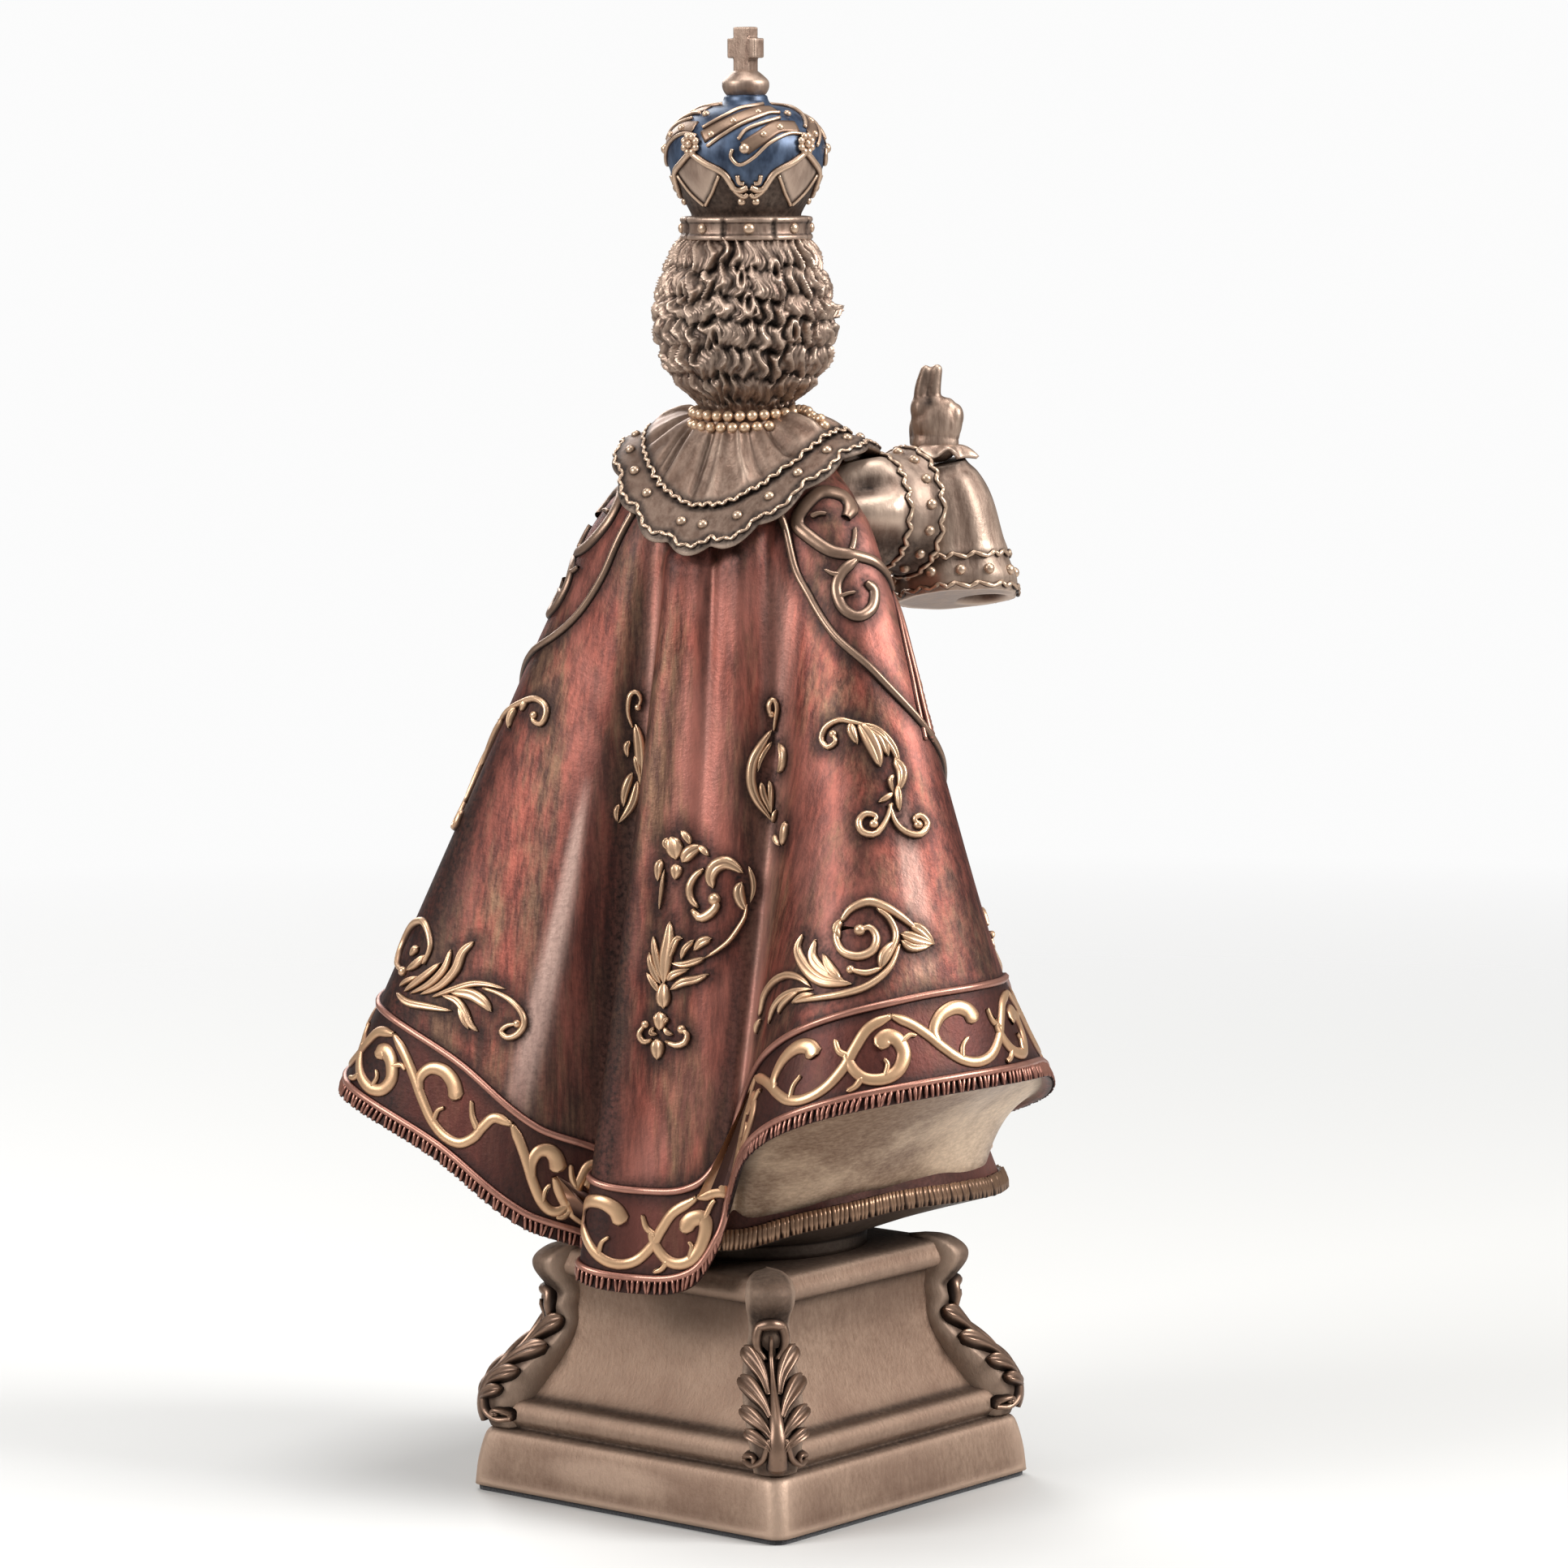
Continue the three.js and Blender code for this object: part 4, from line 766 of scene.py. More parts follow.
# Draws a motif's strokes; a curl ends in a bead, and a leaf has a vein.
def drawMotif(bm, name, angle, fall, flipped=False):
    here = capePoint(angle, fall)
    aside = np.linalg.norm(capePoint(angle + 1, fall) - here) * (-1 if flipped else 1)
    down = np.linalg.norm(capePoint(angle, fall + 0.01) - here) * 100
    high = relief["high"]
    strokes = [(kind, *entry) for kind in swelling for entry in motifs[name].get(kind, ())]
    for kind, wide, *spots in strokes:
        wide = wide * relief["swell"]
        long = np.sum(np.linalg.norm(np.diff(np.array(spots, float), axis=0), axis=1))
        share = np.linspace(0, 1, max(9, int(long * relief["rows"])))
        flat = path(spots, share)
        angles, falls = angle + flat[:, 0] / aside, fall + flat[:, 1] / down
        width = swelling[kind](share)
        section = leafSection if kind == "leaf" else strokeSection
        points = capeStroke(bm, angles, falls, wide * width, high * (0.35 + 0.65 * width), section)
        if kind == "curl":
            end = capeNormal(angles, falls)[-1]
            stud(bm, points[-1] + end * high * 0.25, end, wide * 1.15, 0.9)
        reliefPoints.extend(points)


def makeRelief():
    bm = bmesh.new()
    layerOf(bm, "rise")
    for name, motif in motifs.items():
        drawMotif(bm, name, *motif["at"])
    for entry in repeats:
        drawMotif(bm, *entry)
    return makePiece("capeRelief", bm, goldPaint)


# The flat scrollwork on the hem's band. One unit runs from a high turn of its stem to the next; points
# are a share of the unit and millimetres above the hem, with a half-width at each end.
band = {
    "turns": [-8, 33, 72, 110, 150, 184, 222, 243.6, 280, 318, 356, 394, 430],
    "high": 0.7, "broad": 1.4, "roomy": 30, "innerUnit": 41,
    "unit": [(0.85, 0.85, (0, 18), (0.13, 15.5), (0.24, 12.5), (0.33, 9.5), (0.44, 6.4), (0.55, 5.2),
              (0.66, 6.2), (0.75, 9.5), (0.8, 13), (0.87, 16.5), (1, 18)),
             (0.8, 1.5, (0.31, 10), (0.28, 13), (0.33, 16), (0.43, 17.2), (0.52, 16.2), (0.57, 13.6)),
             (0.45, 0.3, (0.45, 6.4), (0.46, 9), (0.5, 10.6)),
             (0.6, 0.4, (0.77, 11.5), (0.71, 13.2), (0.68, 15.8))],
    "inner": [(0.85, 1.4, (-0.25, 12.3), (-0.19, 8.5), (-0.117, 6), (-0.024, 5.2), (0.05, 6.5), (0.08, 9.6),
               (0.04, 12.8), (-0.024, 13.8), (-0.07, 12)),
              (0.45, 0.3, (-0.02, 5.8), (-0.01, 8), (-0.03, 9.4)),
              (0.55, 0.4, (-0.14, 6.4), (-0.17, 4.8), (-0.21, 4.2)),
              (0.5, 0.3, (0.06, 12), (0.11, 13.2), (0.15, 12.8))],
}


def makeBand():
    bm = bmesh.new()
    layerOf(bm, "rise")

    def scroll(start, size, first, last, *points):
        share = np.linspace(0, 1, 7 * (len(points) - 1))
        flat = path(points, share)
        run = start - flat[:, 0] * size
        if run.min() < 1 or run.max() > hemLength - 1:
            return
        angle, fall = hemSpot(run, flat[:, 1] + 0.4)
        width = blend(first, last, share ** 1.5) * band["broad"] * (0.55 + 0.45 * step(0, 0.06, share))
        capeStroke(bm, angle, fall, width * (1 - 0.45 * step(0.94, 1, share)), band["high"])

    turns = band["turns"]
    for low, high in zip(turns, turns[1:]):
        size = high - low
        for entry in band["unit"]:
            scroll(high, size, *entry)
        for entry in band["inner"] if size > band["roomy"] else ():
            scroll(high, band["innerUnit"], *entry)
    return makePiece("hemScrollwork", bm, bandPaint)


# Bronze C-scrolls on the two panels beside the collar, in millimetres from the panel's top.
yoke = {
    "cord": [(-33, 0.085), (-36.9, 0.18), (-46.6, 0.274), (-61.9, 0.347), (-77, 0.43), (-90, 0.51),
             (-104, 0.58)],
    "at": (-52, 0.06), "wide": 0.85, "high": 0.95, "panelLength": 145,
    "scrolls": [(1.8, 1.15, (-3.4, 6.8), (-5.6, 4.4), (-4.4, 1.8), (-0.2, 0.6), (3, 2.6), (4.4, 6.2),
                 (3.4, 10.4), (0.8, 13.6), (-4, 15.2), (-8.6, 17), (-12.6, 20), (-16, 24)),
                (1.2, 1.25, (-3.9, 16.2), (-0.4, 18.3), (1.2, 21.6), (0.3, 26.2), (-2.8, 28.6), (-6.4, 27.2),
                 (-7.6, 23.6), (-5.6, 21.4)), (0.8, 0.5, (-3.1, 14), (-4.2, 11.6), (-4.8, 9.3)),
                (0.7, 0.4, (0.4, 18.8), (1.6, 18.2), (2.6, 17.1)), (0.7, 0.4, (3, 5.2), (1.8, 5), (0.6, 5.4)),
                (0.6, 0.4, (0.6, 23.6), (-0.9, 23.3), (-2.6, 23.3))],
}


def makeYoke():
    bm = bmesh.new()
    layerOf(bm, "rise")
    for side in (-1, 1):
        share = np.linspace(0, 1, 110)
        flat = path(yoke["cord"], share)
        lean = flat[:, 0] if side < 0 else -flat[:, 0] * 0.98 - 2
        reliefPoints.extend(capeStroke(bm, lean, flat[:, 1], yoke["wide"], yoke["high"] + 0.1)[::2])
        angle, fall = yoke["at"] if side < 0 else (-yoke["at"][0] - 2, yoke["at"][1])
        for first, last, *spots in yoke["scrolls"]:
            share = np.linspace(0, 1, 8 * len(spots))
            flat = path(spots, share)
            falls = fall + flat[:, 1] / yoke["panelLength"]
            aside = np.linalg.norm(capePoint(angle + 1, falls) - capePoint(angle, falls), axis=-1)
            angles = angle - side * flat[:, 0] / aside
            width = blend(first, last, share) * (0.6 + 0.4 * step(0, 0.08, share))
            width = width * (1 - 0.4 * step(0.93, 1, share))
            reliefPoints.extend(capeStroke(bm, angles, falls, width, yoke["high"])[::2])
    return makePiece("yokeScrolls", bm, bronzeTrim)


def makeCape():
    bm = bmesh.new()
    edge, lip = cape["edge"], cape["lip"]
    closing = 5 / cape["columns"]
    body, lipEnd = 0.86, 0.885

    def spots(u, v):
        inner = np.clip((closing - np.minimum(u, 1 - u)) / closing, 0, 1)
        turn = np.clip((u - closing) / (1 - 2 * closing), 0, 1) * 2 * edge - edge
        away = (turn / edge) ** 2
        angle = turn * (0.55 + 0.45 * away) + 12 * (away - 1)
        return inner, angle, np.clip(v / body, 0, 1)

    def place(u, v):
        inner, angle, fall = spots(u, v)
        outer = capePoint(angle, fall)
        out = outward(angle)
        hang = step(body, lipEnd, v)[:, None]
        lipped = outer - out * lip * hang + up * lip * (0.25 * hang - 0.9 * hang * (1 - hang))
        foot = tunicHem(angle) - out * 2 * tunic["hemThickness"] + up * tunic["hemThickness"]
        way = np.clip((v - lipEnd) / (1 - lipEnd), 0, 1)[:, None]
        lined = blend(lipped, foot, way)
        lined[:, 2] += cape["hollow"] * np.sin(np.pi * way[:, 0])
        at = np.where(v[:, None] > lipEnd, lined, lipped)
        tucked = at - out * 1.5 * lip * step(0, 0.5, inner)[:, None]
        core = around(angle, 8, at[:, 2])
        return blend(tucked, core, step(0.55, 1, inner)[:, None])

    def lining(u, v):
        inner, _, _ = spots(u, v)
        return np.maximum(step(lipEnd - 0.012, lipEnd + 0.004, v), step(0.2, 0.6, inner))

    def ground(u, v):
        _, angle, fall = spots(u, v)
        top = trim["bandWidth"] + trim["fringe"]
        return (v < body) * (1 - step(top - 0.6, top + 0.4, (1 - fall) * capeLength(angle)))

    # a strip from one of the cape's tables: painted shade for the valleys, painted highlights for the ridges
    def marked(table):
        def mark(u, v):
            _, angle, fall = spots(u, v)
            most = 0 * fall
            for middle, wide, strength in cape[table]:
                near = np.clip(1.6 * hump(angle, through(middle, fall), through(wide, fall)), 0, 1)
                strong = np.maximum(0, through(strength, fall)) * near
                most = np.maximum(most, strong * (fall > strength[0][0]))
            return most * (v < body)
        return mark

    # lining, the hem band's ground, painted shade in the valleys, painted highlights on two ridges, and less
    # fold shade near the front edges
    lattice(bm, cape["columns"], cape["rows"], place, lining=lining, ground=ground, halo=marked("shadedValleys"),
            shine=marked("paintedHighlights"), front=lambda u, v: 0.8 * step(105, 125, np.abs(spots(u, v)[1])))
    return makePiece("cape", bm, robePaint, ["figure"], hollow=3, fold=67)


def makeCapeTrims():
    bm = bmesh.new()
    run = np.linspace(0, hemLength, 460)
    cords = []
    for above in (trim["bandWidth"] + trim["fringe"], trim["fringe"]):
        cords.extend(capeStroke(bm, *hemSpot(run, above), trim["cord"], trim["cord"] * 1.15, roundSection))
    for side in (-1, 1):                     # the front edges, and two ridges of edging over the shoulder
        fall = np.linspace(0.02, 0.97, 160)
        capeStroke(bm, side * (cape["edge"] - 0.3), fall, 1, 1.2, roundSection)
        fall = np.linspace(0.05, 0.46, 100)
        for inside, wide in ((0, 0.8), (3.2, 0.55)):
            angle = side * (through(cape["edging"], fall) - inside)
            capeStroke(bm, angle, fall, wide, wide * 1.2, roundSection)
    makePiece("capeCords", bm, cordPaint)
    return cords


# Short twisted strands that hang from the hem.
def makeFringe(name, spots, count, length, thick, material):
    bm = bmesh.new()
    rng = np.random.default_rng(11)
    for i in range(count):
        share = (i + 0.5) / count
        slant = rng.uniform(-0.5, 0.9)
        wide = thick * rng.uniform(0.85, 1.1)
        down = np.linspace(0, 1, 4)
        points, normals = spots(share, length * (1 - down), slant * down)
        girth = wide * np.array([0.9, 1, 1, 0.55])
        stroke(bm, points, normals, girth, girth * 1.05, roundSection[::2])
    return makePiece(name, bm, material)


def hemStrands(share, above, slide):
    angle, fall = hemSpot(share * hemLength + slide, above)
    return capePoint(angle, fall, 0.25), capeNormal(angle, fall)


# Slanting strands outside the edging's ridges, half of them on each side.
def edgeStrands(share, above, slide):
    side = 1 if share < 0.5 else -1
    fall = 0.05 + 0.8 * (share % 0.5) + (above - slide) / 150
    angle = side * (through(cape["edging"], fall) + 3.6 - 1.2 * np.asarray(above))
    return capePoint(angle, fall), capeNormal(angle, fall)


capePiece = makeCape()
cordPoints = makeCapeTrims()
makeRelief()
makeBand()
makeYoke()
makeFringe("capeFringe", hemStrands, int(hemLength / trim["strandGap"]), trim["fringe"] - 0.2,
           trim["strand"] / 2, cordPaint)
makeFringe("edgeFringe", edgeStrands, trim["edgeStrands"], 2.8, 0.62, cordPaint)


# The tunic's cloth, for a turn and a share of the way down to its hem.
def tunicPoint(turn, fall, proud=0.0):
    turn, fall = np.broadcast_arrays(np.asarray(turn, float), np.asarray(fall, float))
    body = turn - backAngle
    chest = 1 / np.hypot(sine(body) / tunic["chestAcross"], cosine(body) / tunic["chestDeep"])
    neck = tunic["neckSlope"] * np.maximum(0, 1 - fall / 0.12)
    front = step(125, 160, np.abs(turn))       # flatter at the back, under the cape
    pleat = tunic["pleatDepth"] * fall * (cosine(turn * tunic["pleats"]) + 0.3 * cosine(turn * 23 + 40)) * (
        0.2 + 0.8 * front)
    reach = (through(tunic["hem"], turn) - chest) * (0.35 * fall + 0.65 * fall ** 2)
    height = blend(seat + tunic["top"], tunicHem(turn)[:, 2], fall)
    return around(turn, chest + reach - neck + pleat + proud, height)


def makeTunic():
    bm = bmesh.new()

    def place(u, v):
        turn = u * 360 - 180
        under = np.clip((v - 0.9) / 0.1, 0, 1)
        inset = tunic["hemThickness"] * step(0, 0.3, under)
        skirt = tunicPoint(turn, np.clip(v / 0.9, 0, 1), -inset)
        skirt[:, 2] -= inset * 0.3
        ledge = around(turn, tunic["footRadius"], seat + 3)
        foot = around(turn, tunic["footRadius"], seat)
        skirt = blend(skirt, ledge, step(0.3, 0.75, under)[:, None])
        return blend(skirt, foot, step(0.75, 1, under)[:, None])

    # painted shade on the cloth under the cape, and on the foot
    def shade(u, v):
        back = 1 - step(118, 138, np.abs(u * 360 - 180))
        return np.maximum(0.75 * back * step(0.5, 0.7, v), step(0.9, 0.93, v))

    lattice(bm, tunic["columns"], tunic["rows"], place, lining=lambda u, v: step(0.905, 0.92, v), halo=shade,
            ground=lambda u, v: 0.9 * step(0.77, 0.78, v))
    return makePiece("tunic", bm, robePaint, hollow=3, fold=32)


# Place and outward direction of a trim, for a turn and millimetres above the tunic's hem.
def tunicTrimSpot(turn, above, proud):
    fall = 1 - np.asarray(above, float) / tunic["length"]
    return tunicPoint(turn, fall, proud), unit(outward(turn) + (0, 0, 0.2))


def tunicStrands(share, above, slide):
    return tunicTrimSpot(share * 360 - 180 + slide, above, 0.35)


makeTunic()
makeFringe("tunicFringe", tunicStrands, 240, tunic["fringe"], 1.05, fringePaint)


def makeTunicTrim():
    bm = bmesh.new()
    turn = np.linspace(-180, 180, 300)
    points, normals = tunicTrimSpot(turn, tunic["cordRise"], 0.2)
    stroke(bm, points, normals, 0.8, 1, roundSection, loop=True)
    for k in range(tunic["scrolls"]):         # gold scrolls between the cord and the fringe
        for wide, *spots in tunic["scroll"]:
            across, rise = path(spots, np.linspace(0, 1, 20)).T
            side = 1 if k % 2 else -1
            points, normals = tunicTrimSpot((k + across) * 360 / tunic["scrolls"] - 180,
                                            tunic["scrollRise"] + side * rise, 0.1)
            stroke(bm, points, normals, wide, 0.9)
    return makePiece("tunicTrim", bm, bandPaint)


makeTunicTrim()


# The collar and necklace

collar = {"neckRadius": 9.5, "neckHeight": 171, "innerRadius": 20.8, "innerHeight": 153, "innerRise": 14.5,
          "outerRadius": 26, "outerHeight": 146.5, "outerRise": 19, "sag": 2.2, "scallops": 17,
          "scallopDepth": 0.24, "scallopAt": 8.5, "waves": 58, "wave": 0.4, "cord": 0.43,
          # by rows of the mesh: how far out it has come, the border from 1 to 2, and its lift off the surface
          "spread": [(0, 0), (0.5, 1), (0.54, 1.03), (0.85, 2), (0.9, 1.96), (1, 0.3)],
          "thickness": [(0, 0), (0.3, 0.3), (0.5, 0.9), (0.54, 0), (0.8, 0.5), (0.85, 0), (0.9, -1.4),
                        (1, -3.5)],
          "studs": [20, -5.5, -17.5, -35, -50.5, -65.5, -82.5, -98, -114, -130, -147, -164, 179, 162, 146,
                    130, 114, 98, 82, 66, 50, 35],
          # creases from the neck to the inner cord: angle at each end, depth and width; a ridge is below 0
          "creases": [(31, 18, 1.1, 2.2), (37, 24, 0.7, 1.8), (-1, -6, 1.1, 2.4), (-15, -17, -0.5, 3),
                      (-28, -40, -0.9, 3), (-40, -50, 0.6, 2), (-60, -68, 1.3, 4), (-82, -88, -0.7, 3),
                      (-95, -104, 0.9, 3), (52, 44, 0.8, 3), (74, 70, -0.8, 3), (92, 96, 0.9, 3),
                      (118, 122, 0.8, 3), (146, 144, 0.8, 3), (172, 170, 0.8, 3), (-122, -126, 0.9, 3),
                      (-150, -150, 0.8, 3)]}


def creasing(angle, spread):
    crease = 0.18 * cosine(angle * 31) * spread
    for top, low, depth, width in collar["creases"]:
        off = apart(angle, blend(top, low, spread))
        crease = crease + 1.5 * depth * hump(off, 0, width * (1.3 - 0.4 * spread))
    return crease


def collarPoint(angle, spread):
    angle, spread = np.broadcast_arrays(np.asarray(angle, float), np.asarray(spread, float))
    rise = sine(angle - backAngle) ** 2
    inner = around(angle, collar["innerRadius"], seat + collar["innerHeight"] + collar["innerRise"] * rise)
    outer = around(angle, collar["outerRadius"], seat + collar["outerHeight"] + collar["outerRise"] * rise)
    scallop = collar["scallopDepth"] * np.abs(cosine((angle - collar["scallopAt"]) * collar["scallops"] / 2))
    lower = blend(inner, outer, ((spread - 1) * (1 + scallop * np.clip(spread - 1, 0, 1)))[:, None])
    neck = around(angle, collar["neckRadius"], seat + collar["neckHeight"])
    upper = blend(neck, inner, spread[:, None])
    crease = creasing(angle, spread)
    upper[:, 2] += collar["sag"] * np.sin(np.pi * spread) * (rise - 0.3) - crease * step(0, 0.3, spread) * (
        1 - 0.7 * step(0.75, 1, spread))
    return np.where(spread[:, None] > 1, lower, upper)


def collarNormal(angle, spread):
    return looks(collarPoint, angle, spread, 0.01)


def makeCollar():
    bm = bmesh.new()

    def place(u, v):
        turn = u * 360 - 180
        spread = through(collar["spread"], v)
        at = collarPoint(turn, spread)
        at[:, 2] += through(collar["thickness"], v)
        return at

    def stain(u, v):
        crease = np.clip(creasing(u * 360 - 180, np.clip(v * 2, 0, 1)), 0, 1)
        return 0.45 * crease * step(0.05, 0.2, v) * (1 - step(0.44, 0.5, v)) + 0.3 * step(0.5, 0.56, v)

    lattice(bm, 300, 72, place, stain=stain)
    made = makePiece("collar", bm, collarPaint, hollow=4)
    bm = bmesh.new()
    turn = np.linspace(-180, 180, 1000)
    marks = []
    for spread, lift in ((1.0, 0.55), (1.96, 0.15)):
        normals = collarNormal(turn, spread - 0.04)
        points = collarPoint(turn, spread) + normals * lift
        zigzag(bm, points, normals, collar["cord"], collar["wave"], collar["waves"])
        marks.extend(points[::2])
    for angle in collar["studs"]:
        at, normal = collarPoint([angle], 1.5)[0], collarNormal(np.array([angle]), 1.5)[0]
        stud(bm, at + normal * 0.35, normal, 1.05)
        marks.append(at)
    makePiece("collarTrim", bm, trimPaint)
    shadeRound(made, marks, 1.3, "stain")


makeCollar()

necklace = {"radius": 11.1, "rows": ((222.2, 28, 0.5), (219.9, 29, 0)), "bead": 1.14,
            "strand": [(-101, 0.12), (-103, 0.32), (-100, 0.55), (-94, 0.86)]}


def makeNecklace():
    bm = bmesh.new()
    for height, count, shift in necklace["rows"]:
        for i in range(count):
            angle = (i + shift) * 360 / count
            dip = 0.6 * sine(angle - backAngle) ** 2
            reach = necklace["radius"] + (222 - height) * 0.2
            ball(bm, around(angle, reach, height - 0.5 + dip), necklace["bead"])
    for angle, spread in path(necklace["strand"], np.linspace(0, 1, 8)):      # runs down over the collar
        ball(bm, collarPoint([angle], spread)[0] + (0, 0, 0.7), necklace["bead"])
    return makePiece("necklace", bm, beadPaint)


makeNecklace()


# Hair and head

hair = {
    "profile": [(171, 8), (174, 10.8), (177.4, 14.2), (180.7, 16.3), (184, 17.4), (187, 18.2), (192, 18.4),
                (197, 17), (200.5, 15.8), (203.7, 14.2), (207.5, 12.2)],
    "tiers": [171, 173.8, 179, 184.9, 190.2, 194.9, 200.7, 207.5], "tierSwell": 1.7,
    "locks": 34, "strands": 101, "lockDepth": 0.9, "strandDepth": 0.24, "wave": 2.6,
    "columns": 440, "rows": 134,
    "faceOpening": 58, "faceSink": 0.36, "fringeHeight": 203, "fringeFade": 6,
    # small lens-shaped partings: angle, height, half-width in degrees and half-height
    "eyes": [(-41, 193.5, 3.2, 2.2), (-36, 198.6, 2.8, 2), (-61, 200.2, 3.2, 2.2), (-20, 187, 3, 2.3),
             (-70, 188, 3, 2.4), (8, 196, 3, 2.2), (34, 190, 3, 2.2), (-100, 195, 3, 2.2), (75, 187, 3, 2.2)],
}


def makeHair():
    bm = bmesh.new()
    tiers = np.array(hair["tiers"], float)
    rng = np.random.default_rng(5)
    drift = rng.uniform(0, 360, (len(tiers), 3))

    def place(u, v):
        turn = u * 360 - 180
        height = blend(tiers[-1], tiers[0], v)      # uneven tiers
        edge = 0.5 * cosine(turn * 7) + 0.5 * cosine(turn * 13 + 60) + 0.4 * cosine(turn * 29)
        edge = edge * step(tiers[0], tiers[1], height) * (1 - step(tiers[-2], tiers[-1], height))
        lie = np.clip(height + edge, tiers[0], tiers[-1] - 0.001)
        tier = np.clip(np.searchsorted(tiers, lie, side="right") - 1, 0, len(tiers) - 2)
        within = (lie - tiers[tier]) / (tiers[tier + 1] - tiers[tier])
        fade = step(tiers[0], tiers[2], height) * 0.6 + 0.4
        swell = hair["tierSwell"] * fade * (np.sin(np.pi * np.clip(0.14 + 0.84 * within, 0, 1)) ** 0.7 - 0.55)
        one, two, five = drift[tier].T
        run = tier + within + 0.12 * sine(turn * 4)
        curve = turn + hair["wave"] * sine(360 * run + 50 * sine(turn * 3)) + 3.2 * sine(turn * 3 + 40 * run)
        curve = curve + 1.6 * sine(turn * 8 + 90 * run) + 0.5 * sine(turn * 17 + 200 * run + one)
        lock = 1 - 2 * np.abs(sine(curve * hair["locks"] / 2)) ** 0.62
        lock = lock * hair["lockDepth"] * (0.8 + 0.45 * sine(turn * 5 + five) + 0.3 * sine(turn * 11 + two))
        strand = hair["strandDepth"] * (1 - 2 * np.abs(sine(curve * hair["strands"] / 2 + five)) ** 0.8)
        for at, high, wide, tall in hair["eyes"]:
            far = np.hypot(apart(turn, at) / wide, (height - high) / tall)
            near = 1 - step(0.9, 1.5, far)
            lock = blend(lock, 0.75 * hump(far, 0.95, 0.32) - 0.9 * hump(far, 0, 0.6), near)
            strand = strand * (1 - near)
        opening = np.cos(np.pi / 2 * np.minimum(1, np.abs(apart(turn, faceAngle)) / hair["faceOpening"]))
        below = np.clip((hair["fringeHeight"] - height) / hair["fringeFade"], 0, 1)
        base = through(hair["profile"], height) * (1 - hair["faceSink"] * opening * below)
        return around(turn, base + swell + (lock + strand) * fade, seat + height)

    lattice(bm, hair["columns"], hair["rows"], place)
    return makePiece("hair", bm, hairPaint, hollow=10)


makeHair()

face = {
    "height": 188, "forward": 5.5, "across": 11.3, "deep": 12.6, "tall": 14.2, "columns": 160, "rows": 144,
    # soft forms, the same on both sides: distance aside, height, half-width, half-height and rise
    "forms": [(0, 0.6, 1.3, 3.4, 0.7), (0, -1.6, 1.1, 2.2, 1), (0, -3.1, 1.35, 1.25, 1.6),
              (1.4, -3.5, 0.8, 0.8, 0.8), (4.2, 1.3, 2.9, 2.1, -1.2), (4.2, 1.1, 2, 1.3, 1.25),
              (4.4, 4.3, 3, 1, 0.5), (5.4, -3.8, 3.4, 3.2, 0.75), (0, -6.1, 2.3, 0.75, 0.9),
              (0, -7.5, 1.9, 0.85, 1.05), (2.9, -6.8, 0.8, 0.8, -0.45), (0, -9, 2, 0.8, -0.35),
              (0, -10.8, 2.7, 2.2, 1.1), (0, -4.9, 0.5, 0.8, -0.3)],
    # fine creases: middle aside, height, half-length, bow, half-width and depth
    "creases": [(4.2, 0.5, 2.1, -0.1, 0.26, 0.55), (4.2, 2.6, 2, -0.12, 0.3, 0.25),
                (0, -6.8, 2.7, 0.07, 0.26, 0.65)],
}


# A calm child's face with closed eyes, worked into the front of an egg.
def makeHead():
    bm = bmesh.new()
    forward = outward(faceAngle)
    aside = np.cross(up, forward)

    def place(u, v):
        across = u * 2 - 1
        turn = 180 * np.sign(across) * np.abs(across) ** 1.7      # closer set at the front
        ahead = cosine(turn) * sine(180 * v)
        z = face["tall"] * cosine(180 * v)
        x = face["across"] * sine(turn) * sine(180 * v) * (1 - 0.14 * np.clip(-z / face["tall"], 0, 1) ** 1.5)
        rise = 0 * x
        for side, height, wide, tall, high in face["forms"]:
            rise = rise + high * hump(np.hypot((np.abs(x) - side) / wide, (z - height) / tall), 0, 1)
        for side, height, half, bow, wide, deep in face["creases"]:
            off = np.abs(x) - side
            line = z - height - bow * off ** 2
            rise = rise - deep * hump(line, 0, wide) * (1 - step(0.7, 1, np.abs(off) / half))
        y = face["deep"] * ahead + rise * step(0, 0.35, ahead)
        z = z + seat + face["height"]
        return forward * (face["forward"] + y)[:, None] + aside * x[:, None] + up * z[:, None]

    lattice(bm, face["columns"], face["rows"], place)
    return makePiece("head", bm, bronzePaint, hollow=5)


makeHead()


# The crown

